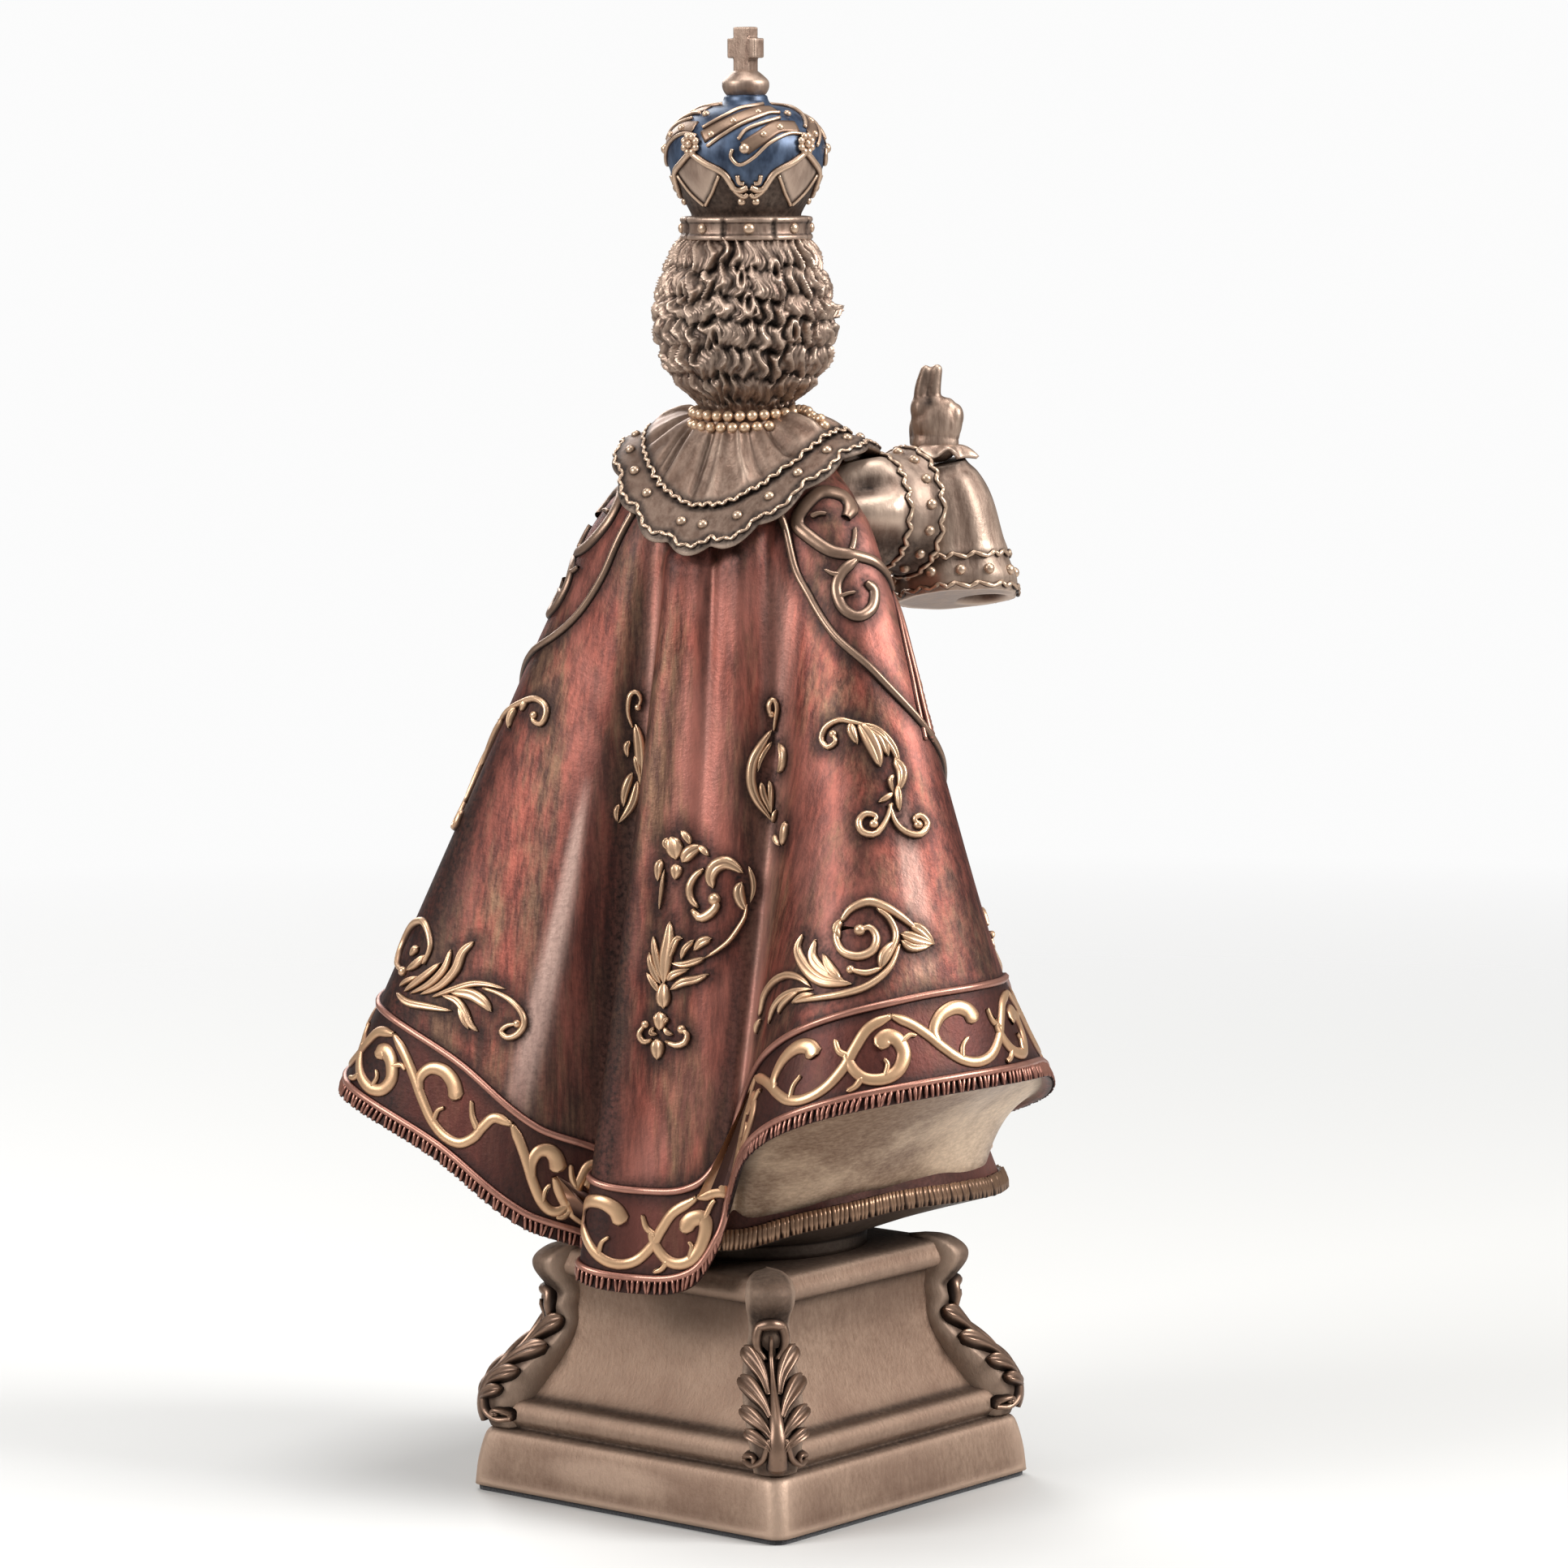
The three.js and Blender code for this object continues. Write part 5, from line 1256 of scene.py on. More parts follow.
crown = {
    "profile": [(210.5, 11), (211.5, 11.2), (215.5, 13.4), (219.5, 15.2), (223.4, 16.1), (227, 15.5),
                (230.2, 13), (232.6, 9), (233.4, 4.6)],
    "knob": [(240.3, 1.4), (240.2, 2.3), (239.3, 3.5), (238.2, 4.6), (237.2, 4.8), (236.3, 4.6), (235.6, 4.2),
             (235.2, 3.8)],
    "neck": [(235.5, 3.4), (235.1, 4.3), (234.2, 4.6), (233.4, 5.2), (232.8, 6)],
    "band": [(210.9, 12.2), (210.7, 13.3), (210, 13.5), (209.3, 13.1), (207.6, 13.1), (206.9, 13.5),
             (206.2, 13.3), (206, 11.5)],
    "bandRadius": 13.1, "bandMiddle": 208.5, "plates": 8,
    "rosettes": 4, "rosetteAngle": 3, "rosetteHeight": 225.4, "rosetteSize": 2.4,
    # heights by degrees from a rosette: where the blue ends, and what is drawn on both its sides
    "edge": [(0, 224), (11, 221.8), (24.5, 219.9), (30, 218), (35, 217.1), (45, 216.7)],
    "border": [(0.5, 223.7), (11, 221.8), (24.5, 219.9), (30, 217.9), (33, 216.6), (38, 216.3),
               (43.6, 216.9)],
    "leaf": [(31, 216.9), (36, 215.6), (41, 215), (44, 215.6)],
    "kite": [(22, 219.2), (13.5, 216), (7, 214.4), (1, 213.2)],
    # straps that run from the rosette round the dome: edges, filling and beads
    "risingEdges": [[(-14, 225), (-26, 227.3), (-41, 229.5), (-63.6, 231.3), (-79, 231.5)],
                    [(-6.6, 228.6), (-22, 230.9), (-38.6, 232.5), (-78.5, 233.2)]],
    "rising": [(-9, 226.8), (-24, 229.2), (-40, 231), (-60, 232.2), (-78, 232.4)],
    "fallingEdges": [[(-3, 227.1), (13, 227.4), (30, 225.6), (42, 222.7), (52, 221.3), (58, 222.8),
                      (57, 224.4)], [(15, 230.5), (33, 229.5), (47, 228.2), (53, 226.3)]],
    "falling": [(2, 228.8), (22, 228.7), (38, 226.4), (48.5, 224.5)],
    "beads": [(-16, 227.4, 0.75), (-32, 230.1, 0.75), (-56, 231.9, 0.7), (19.4, 228.8, 0.8), (34, 227.4, 0.7),
              (48.5, 224.5, 1.05), (1, 231.5, 0.8)],
    "crossTop": 249, "crossTall": 9.4, "crossAcross": 7.4, "crossBar": 4, "crossDeep": 3.1, "crossArm": 5.1,
}


def crownPoint(angle, height, proud=0.0):
    return around(angle, through(crown["profile"], height) + proud, seat + height)


def crownNormal(angle, height):
    return looks(crownPoint, angle, height, -0.1)


def fromRosette(turn):
    return np.abs((turn - crown["rosetteAngle"] + 45) % 90 - 45)


# Turns an outline of heights and radii; ripple adds to the radius.
def lathe(bm, outline, columns, ripple=lambda turn: 0):
    def place(u, v):
        turn = u * 360 - 180
        height, radius = path(outline, v).T
        return around(turn, radius + ripple(turn), seat + height)

    lattice(bm, columns, (len(outline) - 1) * 4, place)


def crownLine(bm, middle, spots, wide, high, section=roundSection):
    angle, height = path(spots, np.linspace(0, 1, 7 * len(spots))).T
    points = crownPoint(middle + angle, height)
    stroke(bm, points, crownNormal(middle + angle, height), wide, high, section)
    return points


def makeCrown():
    bm = bmesh.new()                          # the blue dome above the border

    def dome(u, v):
        turn = u * 360 - 180
        return crownPoint(turn, blend(233.4, through(crown["edge"], fromRosette(turn)) - 0.5, v))

    lattice(bm, 160, 36, dome)
    lathe(bm, crown["neck"], 64)
    makePiece("crownDome", bm, bluePaint, hollow=4)

    bm = bmesh.new()                          # bronze below it: petals, band and knob

    # degrees from a rosette, height, and how far that is above the petals' ridge
    def petalSpot(u, v):
        far = fromRosette(u * 360 - 180)
        height = blend(through(crown["edge"], far), crown["profile"][0][0], v)
        return far, height, height - through(crown["kite"], far)

    def petals(u, v):
        return crownPoint(u * 360 - 180, petalSpot(u, v)[1], 0.1 * v)

    # dark between the petals and below their ridges
    def between(u, v):
        far, _, above = petalSpot(u, v)
        low = step(-3.5, 0.5, -above) * 0.4 + 0.6
        return 0.9 * step(-0.9, 0.3, -above) * np.maximum(low, step(38, 45, far))

    def field(u, v):
        far, _, above = petalSpot(u, v)
        return step(0, 0.6, above) * (1 - step(18, 22, far)) * (0.75 - 0.6 * step(0, 6, above))

    def grooves(turn):
        gap = 360 / crown["plates"]
        return -0.5 * hump((turn - crown["rosetteAngle"]) % gap - gap / 2, 0, 1.2)

    lattice(bm, 280, 38, petals, stain=between, bright=field)
    lathe(bm, crown["band"], 240, grooves)
    lathe(bm, crown["knob"], 96)
    bronze = makePiece("crownBronze", bm, bronzePaint, hollow=6)
    marks = []

    bm = bmesh.new()
    for k in range(crown["rosettes"]):
        middle = crown["rosetteAngle"] + 90 * k
        for side in (-1, 1):
            for name, wide, high in (("border", 0.75, 0.9), ("leaf", 0.6, 0.8), ("kite", 0.42, 0.6)):
                marks.extend(crownLine(bm, middle, [(side * a, h) for a, h in crown[name]], wide, high))
            crownLine(bm, middle, [(side * 36, 219.2), (side * 37, 217.8), (side * 41, 217.6)], 0.5, 0.7)
            stud(bm, crownPoint(middle + side * 38.5, 213.9, 0.1), outward(middle + side * 38.5), 0.8)
        for name in ("rising", "falling"):
            crownLine(bm, middle, crown[name], 1.5, 0.6, flatSection)
            for edge in crown[name + "Edges"]:
                crownLine(bm, middle, edge, 0.42, 0.7)
        for offset, height, size in crown["beads"]:
            at = crownPoint(middle + offset, height, 0.35)
            stud(bm, at, crownNormal(middle + offset, height), size)
        centre = crownPoint(middle, crown["rosetteHeight"], 0.6)
        normal = crownNormal(middle, crown["rosetteHeight"])
        aside = unit(np.cross(normal, up))
        stud(bm, centre + normal * 0.35, normal, 0.85)
        for petal in range(8):
            a = petal * 45 + 22.5
            spot = centre + (aside * cosine(a) + up * sine(a)) * crown["rosetteSize"] * 0.68
            stud(bm, spot, normal, 0.82, 0.8)
    reach, middle = crown["bandRadius"], seat + crown["bandMiddle"]
    for k in range(crown["plates"]):
        angle = crown["rosetteAngle"] + 360 * k / crown["plates"]
        stud(bm, around(angle, reach, middle), outward(angle), 1.15, 0.7)
        marks.append(around(angle, reach, middle))
        marks.extend(around(angle + 180 / crown["plates"], reach, middle + np.array([-1, 0, 1])))
    makePiece("crownTrim", bm, crownPaint)
    shadeRound(bronze, marks, 0.7, "stain", 0.5)
    lines = [at for rise in (-1.3, 1.2) for at in around(np.linspace(0, 360, 200), reach, middle + rise)]
    shadeRound(bronze, lines, 0.4, "stain", 0.1)   # dark inside the band's two edges


makeCrown()


# The cross on top, two bars of one thickness melted together and eased.
def makeCross():
    bm = bmesh.new()
    tall, arm = crown["crossTall"], crown["crossArm"]
    low = seat + crown["crossTop"] - tall
    bar, across = crown["crossBar"], crown["crossAcross"]
    for wide, high, middle in ((bar, tall, tall / 2), (across, bar, arm)):
        block(bm, (0, 0, low + middle), (wide, crown["crossDeep"], high))
    bmesh.ops.subdivide_edges(bm, edges=bm.edges[:], cuts=3, use_grid_fill=True)
    melted = fuse(bm, 0.22, 6)
    return makePiece("crownCross", melted, bronzePaint, hollow=6)


makeCross()


# The arms

arm = {
    # to the picture's right, away from the camera, and height above the plinth
    "shoulder": (14, -8, 150), "middle": (25, -5.5, 151), "elbow": (32.2, -0.6, 150.6),
    "cuff": (40, 3, 160.5), "mouth": (43, 6.5, 132.2),
    "bellRows": 90, "puffRows": 70, "columns": 120, "dent": (142, 0.38), "opening": (5.2, -2.5),
    "frill": {"base": (38.9, 3, 162.6), "narrow": 3.8, "broad": 6.1, "flap": -12, "thickness": 0.8},
    "bell": [(0, 12.4), (0.05, 12.9), (0.12, 12.8), (0.25, 11.5), (0.32, 11.3), (0.4, 10.6), (0.65, 9),
             (0.86, 6.8), (0.95, 5.3), (1, 4.7)],
    "tilt": 0.36,
    # cords and studs as shares of a sleeve's length, and how far they stand proud: in millimetres on the
    # bell, as a share of its girth on a tube; a cord's size, wave and turns
    "bellDress": {"cords": (0.035, 0.29), "cordProud": 0.15, "zigzag": (0.5, 0.5, 19), "studs": 0.16,
                  "studProud": 0.1, "firstStud": 8, "studGap": 28, "stud": 1.15},
    "puffDress": {"cords": (0.62, 0.985), "cordProud": 1.015, "zigzag": (0.55, 0.6, 20), "studs": 0.81,
                  "studProud": 1.01, "firstStud": 14, "studGap": 26, "stud": 1.15},
    "leftDress": {"cords": (0.6, 0.97), "cordProud": 1.02, "zigzag": (0.62, 0.6, 20), "studs": 0.78,
                  "studProud": 1.01, "firstStud": 0, "studGap": 30, "stud": 1.1},
    "puff": [(0, 8), (0.3, 10.6), (0.6, 11.6), (0.8, 12), (0.93, 12.9), (1, 12.9)],
    # hand: middle of each mass, and its half-sizes across, away and up
    "masses": [((38.7, 0, 168.6), (5.3, 3.2, 5.6)), ((38.4, 0, 164.4), (4.9, 3.1, 4)),
               ((35.6, 0, 171.4), (2.3, 2.4, 3.2)), ((38.2, 0, 171.8), (2.4, 2.4, 3)),
               ((40.9, 0, 171.4), (1.9, 2.3, 2.4)), ((42.6, 0.2, 169.9), (1.7, 2.4, 2.7)),
               ((39.2, 1.6, 166.4), (4.4, 3, 3.6))],
    # chains of points with their half-widths: two raised fingers, two folded ones, the thumb
    "chains": [([(35.3, 0, 170), (35.5, 0, 175.4), (36.5, 0, 179.3)], (1.6, 1.42, 1.2)),
               ([(38, 0, 170.5), (38.3, 0, 176), (38.8, 0, 179.5)], (1.6, 1.42, 1.2)),
               ([(40.9, 0.6, 171.8), (41.1, 3.6, 171.2), (40.6, 3.6, 167)], (1.6, 1.5, 1.3)),
               ([(42.6, 0.6, 170.2), (42.8, 3.4, 169.4), (42.2, 3.4, 166)], (1.5, 1.4, 1.2)),
               ([(35, 1.6, 164.6), (35, 3.8, 168.6), (38.4, 4.4, 171.2)], (1.9, 1.6, 1.3))],
}


# Place as the picture shows it: to its right, away from the camera, and up.
def seen(side, away, height):
    across, back = cosine(viewTurn), sine(viewTurn)
    return np.array([side * across - away * back, side * back + away * across, seat + height])


# A finger or limb as a chain of balls, later melted together.
def chain(bm, points, girths, count):
    share = np.linspace(0, 1, count)
    girth = np.interp(share, np.linspace(0, 1, len(girths)), girths)
    for at, size in zip(path(points, share), girth):
        ball(bm, at, size, detail=2)


def makeHand():
    bm = bmesh.new()
    right, away = seen(1, 0, -seat), seen(0, 1, -seat)
    for middle, size in arm["masses"]:
        for v in ball(bm, (0, 0, 0), 1, detail=4):
            x, y, z = v.co
            v.co = seen(*middle) + right * x * size[0] + away * (y * size[1] + 3) + up * z * size[2]
    for spots, girths in arm["chains"]:
        chain(bm, [seen(*at) + away * 3 for at in spots], girths, 20)
    made = makePiece("raisedHand", fuse(bm, 0.26, 16), handPaint, hollow=14)
    # painted shade between the two raised fingers and under the hand
    between = [seen(36.9, 1 + 2 * t, 173 + 5.5 * k / 12) for k in range(13) for t in (-2, 0, 2)]
    below = [seen(38.5 + 5 * t, -0.5, 162.5) for t in (-1, -0.5, 0, 0.5, 1)]
    shadeRound(made, between + below, 1.5, "stain", 0.4)
    return made


# Zigzag cords and a row of studs round a sleeve; ring(share, turn, proud) gives its middle and its reach.
def dressSleeve(trimming, ring, dress, stops=361):
    for share in dress["cords"]:
        middle, reach = ring(share, np.linspace(0, 360, stops), dress["cordProud"])
        zigzag(trimming, middle + reach, unit(reach), *dress["zigzag"])
    for angle in range(dress["firstStud"], 360, dress["studGap"]):
        middle, reach = ring(dress["studs"], np.array([float(angle)]), dress["studProud"])
        stud(trimming, (middle + reach)[0], unit(reach)[0], dress["stud"], 0.85)


# The ring of a tube's own surface, for dressSleeve.
def tubeRing(made, rows, ripple):
    centre, across, out, size = made

    def ring(share, turn, proud):
        i = int(round(share * rows))
        swell = ripple(turn, i / rows)
        reach = across[i] * (size[0, i] * cosine(turn) * swell)[:, None]
        return centre[i], (reach + out[i] * (size[1, i] * sine(turn) * swell)[:, None]) * proud

    return ring


def makeRightArm():
    shell, trimming = bmesh.new(), bmesh.new()
    shoulder, middle, elbow = (seen(*arm[name]) for name in ("shoulder", "middle", "elbow"))
    mouth, cuff = seen(*arm["mouth"]), seen(*arm["cuff"])
    right, near = seen(1, 0, -seat), seen(0, -1, -seat)

    def forearm(s):
        lower, higher = blend(mouth, cuff, 0.35) + right * 0.4, blend(mouth, cuff, 0.72) + right * 0.5
        return path([mouth, lower, higher, cuff], s)

    def creased(angle, s):
        return 1 + 0.03 * cosine(angle * 5 + 30) * (1 - s) + 0.015 * cosine(angle * 9)

    # the bell's near side is lifted, so that its flat underside shows
    def tilted(points, centre, s):
        lift = np.sum((points - centre) * near, -1) * arm["tilt"] * (1 - step(0, 0.75, s))
        return points + up * np.asarray(lift)[..., None]

    rows = arm["bellRows"]
    stops = np.linspace(0, 1, rows + 1)
    centre = forearm(stops)
    along = unit(np.gradient(centre, axis=0))
    across = unit(np.cross(near, along))
    out = np.cross(along, across)

    def bellPoint(i, angle, grow=0.0):
        size = through(arm["bell"], stops[i]) * creased(angle, stops[i]) + grow
        at = centre[i] + across[i] * (size * cosine(angle))[:, None] + out[i] * (size * sine(angle))[:, None]
        return tilted(at, centre[i], stops[i])

    # a darker border band by the lower cord, darker over the upper half, and painted shade just under the
    # frill
    def bellMark(u, v):
        border = 0.3 * (1 - step(0.28, 0.31, v)) + 0.45 * hump(v, 0.3, 0.03)
        return border + 0.25 * step(0.5, 0.75, v) + 0.6 * step(0.93, 1, v)

    lattice(shell, arm["columns"], rows, lambda u, v: bellPoint(np.rint(v * rows).astype(int), u * 360),
            stain=bellMark)

    def bellRing(share, turn, proud):
        i = np.full(len(turn), int(round(share * rows)))
        return centre[i], bellPoint(i, turn, proud) - centre[i]

    dressSleeve(trimming, bellRing, arm["bellDress"])

    def fromOpening(at):
        aside, nearer = arm["opening"]
        return np.hypot((at - centre[0]) @ right - aside, ((at - centre[0]) @ near - nearer) * 0.9)

    def underside(u, v):                         # flat, with painted shade in the opening to the right
        angle = u * 360
        size = blend(through(arm["bell"], 0) * creased(angle, 0), 0.4, v)
        at = centre[0] + across[0] * (size * cosine(angle))[:, None]
        at = tilted(at + out[0] * (size * sine(angle))[:, None], centre[0], np.zeros(len(v)))
        at[:, 2] += 3.2 * (1 - step(2.6, 5.6, fromOpening(at))) * step(0, 0.12, v)
        return at

    def opening(u, v):
        return (1 - step(3.2, 5.8, fromOpening(underside(u, v)))) * step(0.05, 0.15, v)

    lattice(shell, arm["columns"], 24, underside, stain=opening)

    def upper(s):
        return path([shoulder, middle, elbow], s)

    def puff(s):
        return (through(arm["puff"], s),) * 2

    # folds of the over-sleeve, with a deep dent on the near side
    def dent(angle, s):
        return hump(angle, arm["dent"][0], 15) * hump(s, arm["dent"][1], 0.14)

    def pleated(angle, s):
        folds = 0.06 * cosine(angle * 6 + 20) * step(0.05, 0.3, s) * (1 - step(0.5, 0.62, s))
        return 1 + folds - 0.13 * dent(angle, s) - 0.03 * hump(s, 0.62, 0.05)

    # painted shade on the puff's underside and in its dent, and a darker border band by the cord
    def sleeveMark(u, v):
        low = step(185, 215, u * 360) * (1 - step(300, 330, u * 360))
        border = 0.35 * step(0.6, 0.64, v) + 0.5 * hump(v, 0.6, 0.03)
        return np.maximum(np.maximum(0.9 * dent(u * 360, v), 0.85 * low), border)

    made = tube(shell, upper, arm["columns"], arm["puffRows"], puff, up, pleated, stain=sleeveMark)
    dressSleeve(trimming, tubeRing(made, arm["puffRows"], pleated), arm["puffDress"])

    makePiece("rightSleeves", shell, bronzePaint, hollow=10)
    makePiece("sleeveTrim", trimming, trimPaint)


# The frill at the wrist, with one loose flap.
def makeFrill():
    bm = bmesh.new()
    frill = arm["frill"]
    right, away = seen(1, 0, -seat), seen(0, 1, -seat)

    def ruffle(u, v):
        angle = u * 360
        flap = hump(apart(angle, frill["flap"]), 0, 16)
        reach = blend(frill["narrow"], frill["broad"], v) + (0.6 * cosine(angle * 6) + 2.2 * flap) * v
        droop = 0.9 * cosine(angle * 6 + 60) * v - 1.8 * flap * v ** 2 + 1.4 * v * (1 - v)
        flat = right * (reach * cosine(angle))[:, None] + away * (reach * 0.8 * sine(angle))[:, None]
        return seen(*frill["base"]) + flat + up * (droop + 1.6 * (1 - v))[:, None]

    lattice(bm, 160, 12, ruffle)
    bmesh.ops.remove_doubles(bm, verts=bm.verts, dist=weld)
    bmesh.ops.recalc_face_normals(bm, faces=bm.faces)
    bmesh.ops.solidify(bm, geom=bm.faces[:], thickness=frill["thickness"])
    return makePiece("wristFrill", bm, bronzePaint, hollow=5)


orb = {
    "angle": 126, "radius": 33, "height": 124, "size": 9,
    # the cross on it: how far each bar's middle stands above the ball, and its size
    "bars": [(3, (1.9, 1.6, 9)), (3.6, (5.4, 1.6, 1.8))],
    # plan angle, distance and height above the plinth
    "elbow": (92, 23, 120), "shoulder": (82, 16, 152), "wristHeight": 119,
    # the palm's masses from its middle, with their radius; and the plan angles of thumb and fingers
    "palm": [(0, 0, 0, 4.2), (2.4, 1.5, 0.4, 3.2), (-2.4, 1.5, 0.4, 3.2), (0, -2.5, 0.4, 3.4),
             (1.6, 3.6, 1, 2.8)],
    "fingers": (60, 100, 140, 180, 262), "finger": (1.7, 1.55, 1.2),
}


def makeLeftArm():
    shell, trimming = bmesh.new(), bmesh.new()
    middle = around(orb["angle"], orb["radius"], seat + orb["height"])
    elbow, shoulder = (around(*orb[name]) + up * seat for name in ("elbow", "shoulder"))
    wrist = blend(middle, elbow, 0.42)
    wrist[2] = seat + orb["wristHeight"]

    def upper(s):
        return path([shoulder, blend(shoulder, elbow, 0.5), elbow], s)

    def lower(s):
        return path([elbow, blend(elbow, wrist, 0.6), wrist], s)

    tube(shell, upper, 72, 40, lambda s: (10, 10), outward(120),
         lambda turn, s: 1 + 0.04 * cosine(turn * 6) * (1 - s))
    made = tube(shell, lower, 72, 50, lambda s: (9 + 1.5 * s,) * 2, up,
                lambda turn, s: 1 + 0.03 * cosine(turn * 5) * (1 - s))
    dressSleeve(trimming, tubeRing(made, 50, lambda turn, s: 1), arm["leftDress"], 241)
    makePiece("leftSleeve", shell, bronzePaint, hollow=10)
    half = orb["size"]
    for axes in ([1, 0, 2], [1, 2, 0]):          # the bands round the globe, level and upright
        flat = outward(np.linspace(0, 360, 241))[:, axes] * half
        stroke(trimming, middle + flat, unit(flat), 0.9, 0.7, loop=True)
    makePiece("leftTrim", trimming, bronzeTrim)

    bm = bmesh.new()
    ball(bm, middle, half, detail=4)
    for rise, size in orb["bars"]:
        block(bm, middle + up * (half + rise), size)
    makePiece("orb", fuse(bm, 0.4, 2), goldBall, hollow=5)

    bm = bmesh.new()
    palm = middle + up * (1.5 - half)
    for x, y, z, size in orb["palm"]:
        made = ball(bm, (0, 0, 0), size, (1, 1, 0.75), 3)
        bmesh.ops.translate(bm, vec=palm + np.array([x, y, z - 1.2]), verts=made)
    chain(bm, [wrist, blend(wrist, palm, 0.6), palm], [3.8, 3.6, 3.6], 10)
    for angle in orb["fingers"]:
        start = palm + around(angle, 3, -0.5)
        bend = palm + around(angle, 8.4, 1)
        tip = middle + around(angle, half + 0.5, 0.6)
        chain(bm, [start, bend, tip], orb["finger"], 13)
    makePiece("leftHand", fuse(bm, 0.4, 3), bronzePaint, hollow=5)


makeHand()
makeFrill()
makeRightArm()
makeLeftArm()


# The plinth

plinth = {"width": 83.2, "height": 49.8, "slab": 11.9, "waist": 54, "cushion": 61, "cushionHeight": 6.4,
          "seat": 50, "corner": 3.2, "felt": 1.2, "low": 12.2}


def plinthOutline():
    p = plinth
    groove, low = p["slab"] + 0.6, p["height"] - p["cushionHeight"]
    half = p["width"] / 2
    waist = p["waist"] / 2
    return [(half, 0), (half - 0.5, p["slab"] * 0.45), (half - 1.6, p["slab"] * 0.88),
            (half - 2.8, p["slab"]), (half - 4, groove), (half - 2.8, p["slab"] + 2.36),
            (half - 2.8, p["slab"] + 4.13), (half - 4, p["slab"] + 5.9), (half - 6.6, p["slab"] + 6.9),
            (waist + 6, p["slab"] + 10), (waist + 3.9, p["slab"] + 14.5), (waist + 1.9, p["slab"] + 20),
            (waist + 0.5, p["slab"] + 26), (waist + 0.7, low), (p["cushion"] / 2 - 0.8, low + 0.6),
            (p["cushion"] / 2, low + 2.2), (p["cushion"] / 2 - 0.7, low + 4.2),
            ((p["cushion"] + p["seat"]) / 4 + 0.9, p["height"] - 0.6), (p["seat"] / 2, p["height"])]


# A point on a rounded square, for a turn in degrees.
def squarePoint(turn, half, corner, height):
    turn = np.asarray(turn, float) % 360
    quarter = np.floor(turn / 90)
    within = turn - quarter * 90                 # 0 to 90, a face's middle at 0 and 90
    straight = half - corner
    share = np.clip(within / 38, 0, 1) * straight
    back = np.clip((90 - within) / 38, 0, 1) * straight
    bend = np.clip((within - 38) / 14, 0, 1) * 90
    first, last, reach = within <= 38, within >= 52, straight + corner
    x = np.where(first, share, np.where(last, reach, straight + corner * sine(bend)))
    y = np.where(first, reach, np.where(last, back, straight + corner * cosine(bend)))
    angle = np.degrees(np.arctan2(x, y)) + quarter * 90
    return around(angle, np.hypot(x, y), height)


def makePlinth():
    bm = bmesh.new()
    outline = plinthOutline()[::-1]

    def place(u, v):
        half, height = path(outline, v).T
        return squarePoint(u * 360, half, plinth["corner"], height + plinth["felt"])

    # patina in the groove and the crease; painted shade under the cushion and on the seat where the figure
    # stands; a painted highlight on one side of the slab
    def stain(u, v):
        height = path(outline, v)[:, 1]
        dark = 0.85 * hump(height, plinth["slab"] + 0.4, 0.7) + 0.75 * hump(height, plinth["slab"] + 6.7, 0.8)
        dark = dark + 0.75 * hump(height, plinth["height"] - plinth["cushionHeight"] + 0.2, 0.7)
        return np.clip(dark + 0.7 * (1 - step(0, 0.12, v)), 0, 0.9)

    def paintedHighlights(u, v):
        x, y, z = place(u, v).T
        far = np.hypot((x - 4) / 24, (z - 7.6) / 4.4)
        return 0.5 * (y > 30) * (1 - step(0.35, 1, far))

    lattice(bm, 200, 19 * 6, place, stain=stain, bright=paintedHighlights)
    return makePiece("plinthBody", bm, smoothBronze, ["plinth"], "bronze", hollow=10)


makePlinth()

# A corner console: a knob under the cushion, a smaller roll, and a leaf that spreads down to the foot.
console = {
    # share of the height against setback from the slab's corner, and against half-width
    "outer": [(1.03, 20), (1.01, 17.2), (0.98, 15.2), (0.95, 14), (0.92, 13.5), (0.88, 13.7), (0.84, 14.6),
              (0.8, 15.8), (0.77, 16.6), (0.75, 16.9), (0.72, 16.4), (0.68, 16), (0.64, 16.5), (0.6, 16.9),
              (0.53, 15.6), (0.45, 12.8), (0.36, 8.8), (0.27, 5.4), (0.18, 3.6), (0.085, 3.4), (0, 4.6)],
    "half": [(1.03, 1.4), (1.01, 3.2), (0.98, 4.2), (0.95, 4.7), (0.9, 4.8), (0.84, 4.5), (0.8, 4.1),
             (0.77, 3.9), (0.72, 3.8), (0.62, 4.3), (0.5, 5.4), (0.35, 5.9), (0.2, 5.4), (0.08, 4.6), (0, 4)],
    "deep": 7,
    # the leaf's rib, by share and height; the lobes on both sides of it, with the shares of foot and tip, the
    # tip's distance aside and the half-width; and the volute's distance aside, share and size
    "rib": [(0.7, 0.4), (0.5, 0.6), (0.4, 0.9), (0.3, 1.5), (0.2, 2), (0.04, 2.2)],
    "lobes": [(0.4, 0.62, 4.6, 1.9), (0.3, 0.47, 5.7, 1.85), (0.21, 0.335, 6, 1.6), (0.14, 0.235, 5.5, 1.3)],
    "lobeBend": [(0.4, 0.38), (0.74, 0.76), (1, 1)], "volute": (4.7, 0.09, 1.9),
    "cap": [(-1.1, 0.56), (-2.4, 0.63), (-2.7, 0.69), (-1.9, 0.745), (0, 0.765), (1.9, 0.745), (2.7, 0.69),
            (2.4, 0.63), (1.1, 0.56)],
}
cupSection = [(-1, -0.6), (-0.97, 0.45), (-0.8, 0.9), (-0.6, 0.98), (-0.3, 0.78), (0, 0.66), (0.3, 0.78),
              (0.6, 0.98), (0.8, 0.9), (0.97, 0.45), (1, -0.6)]


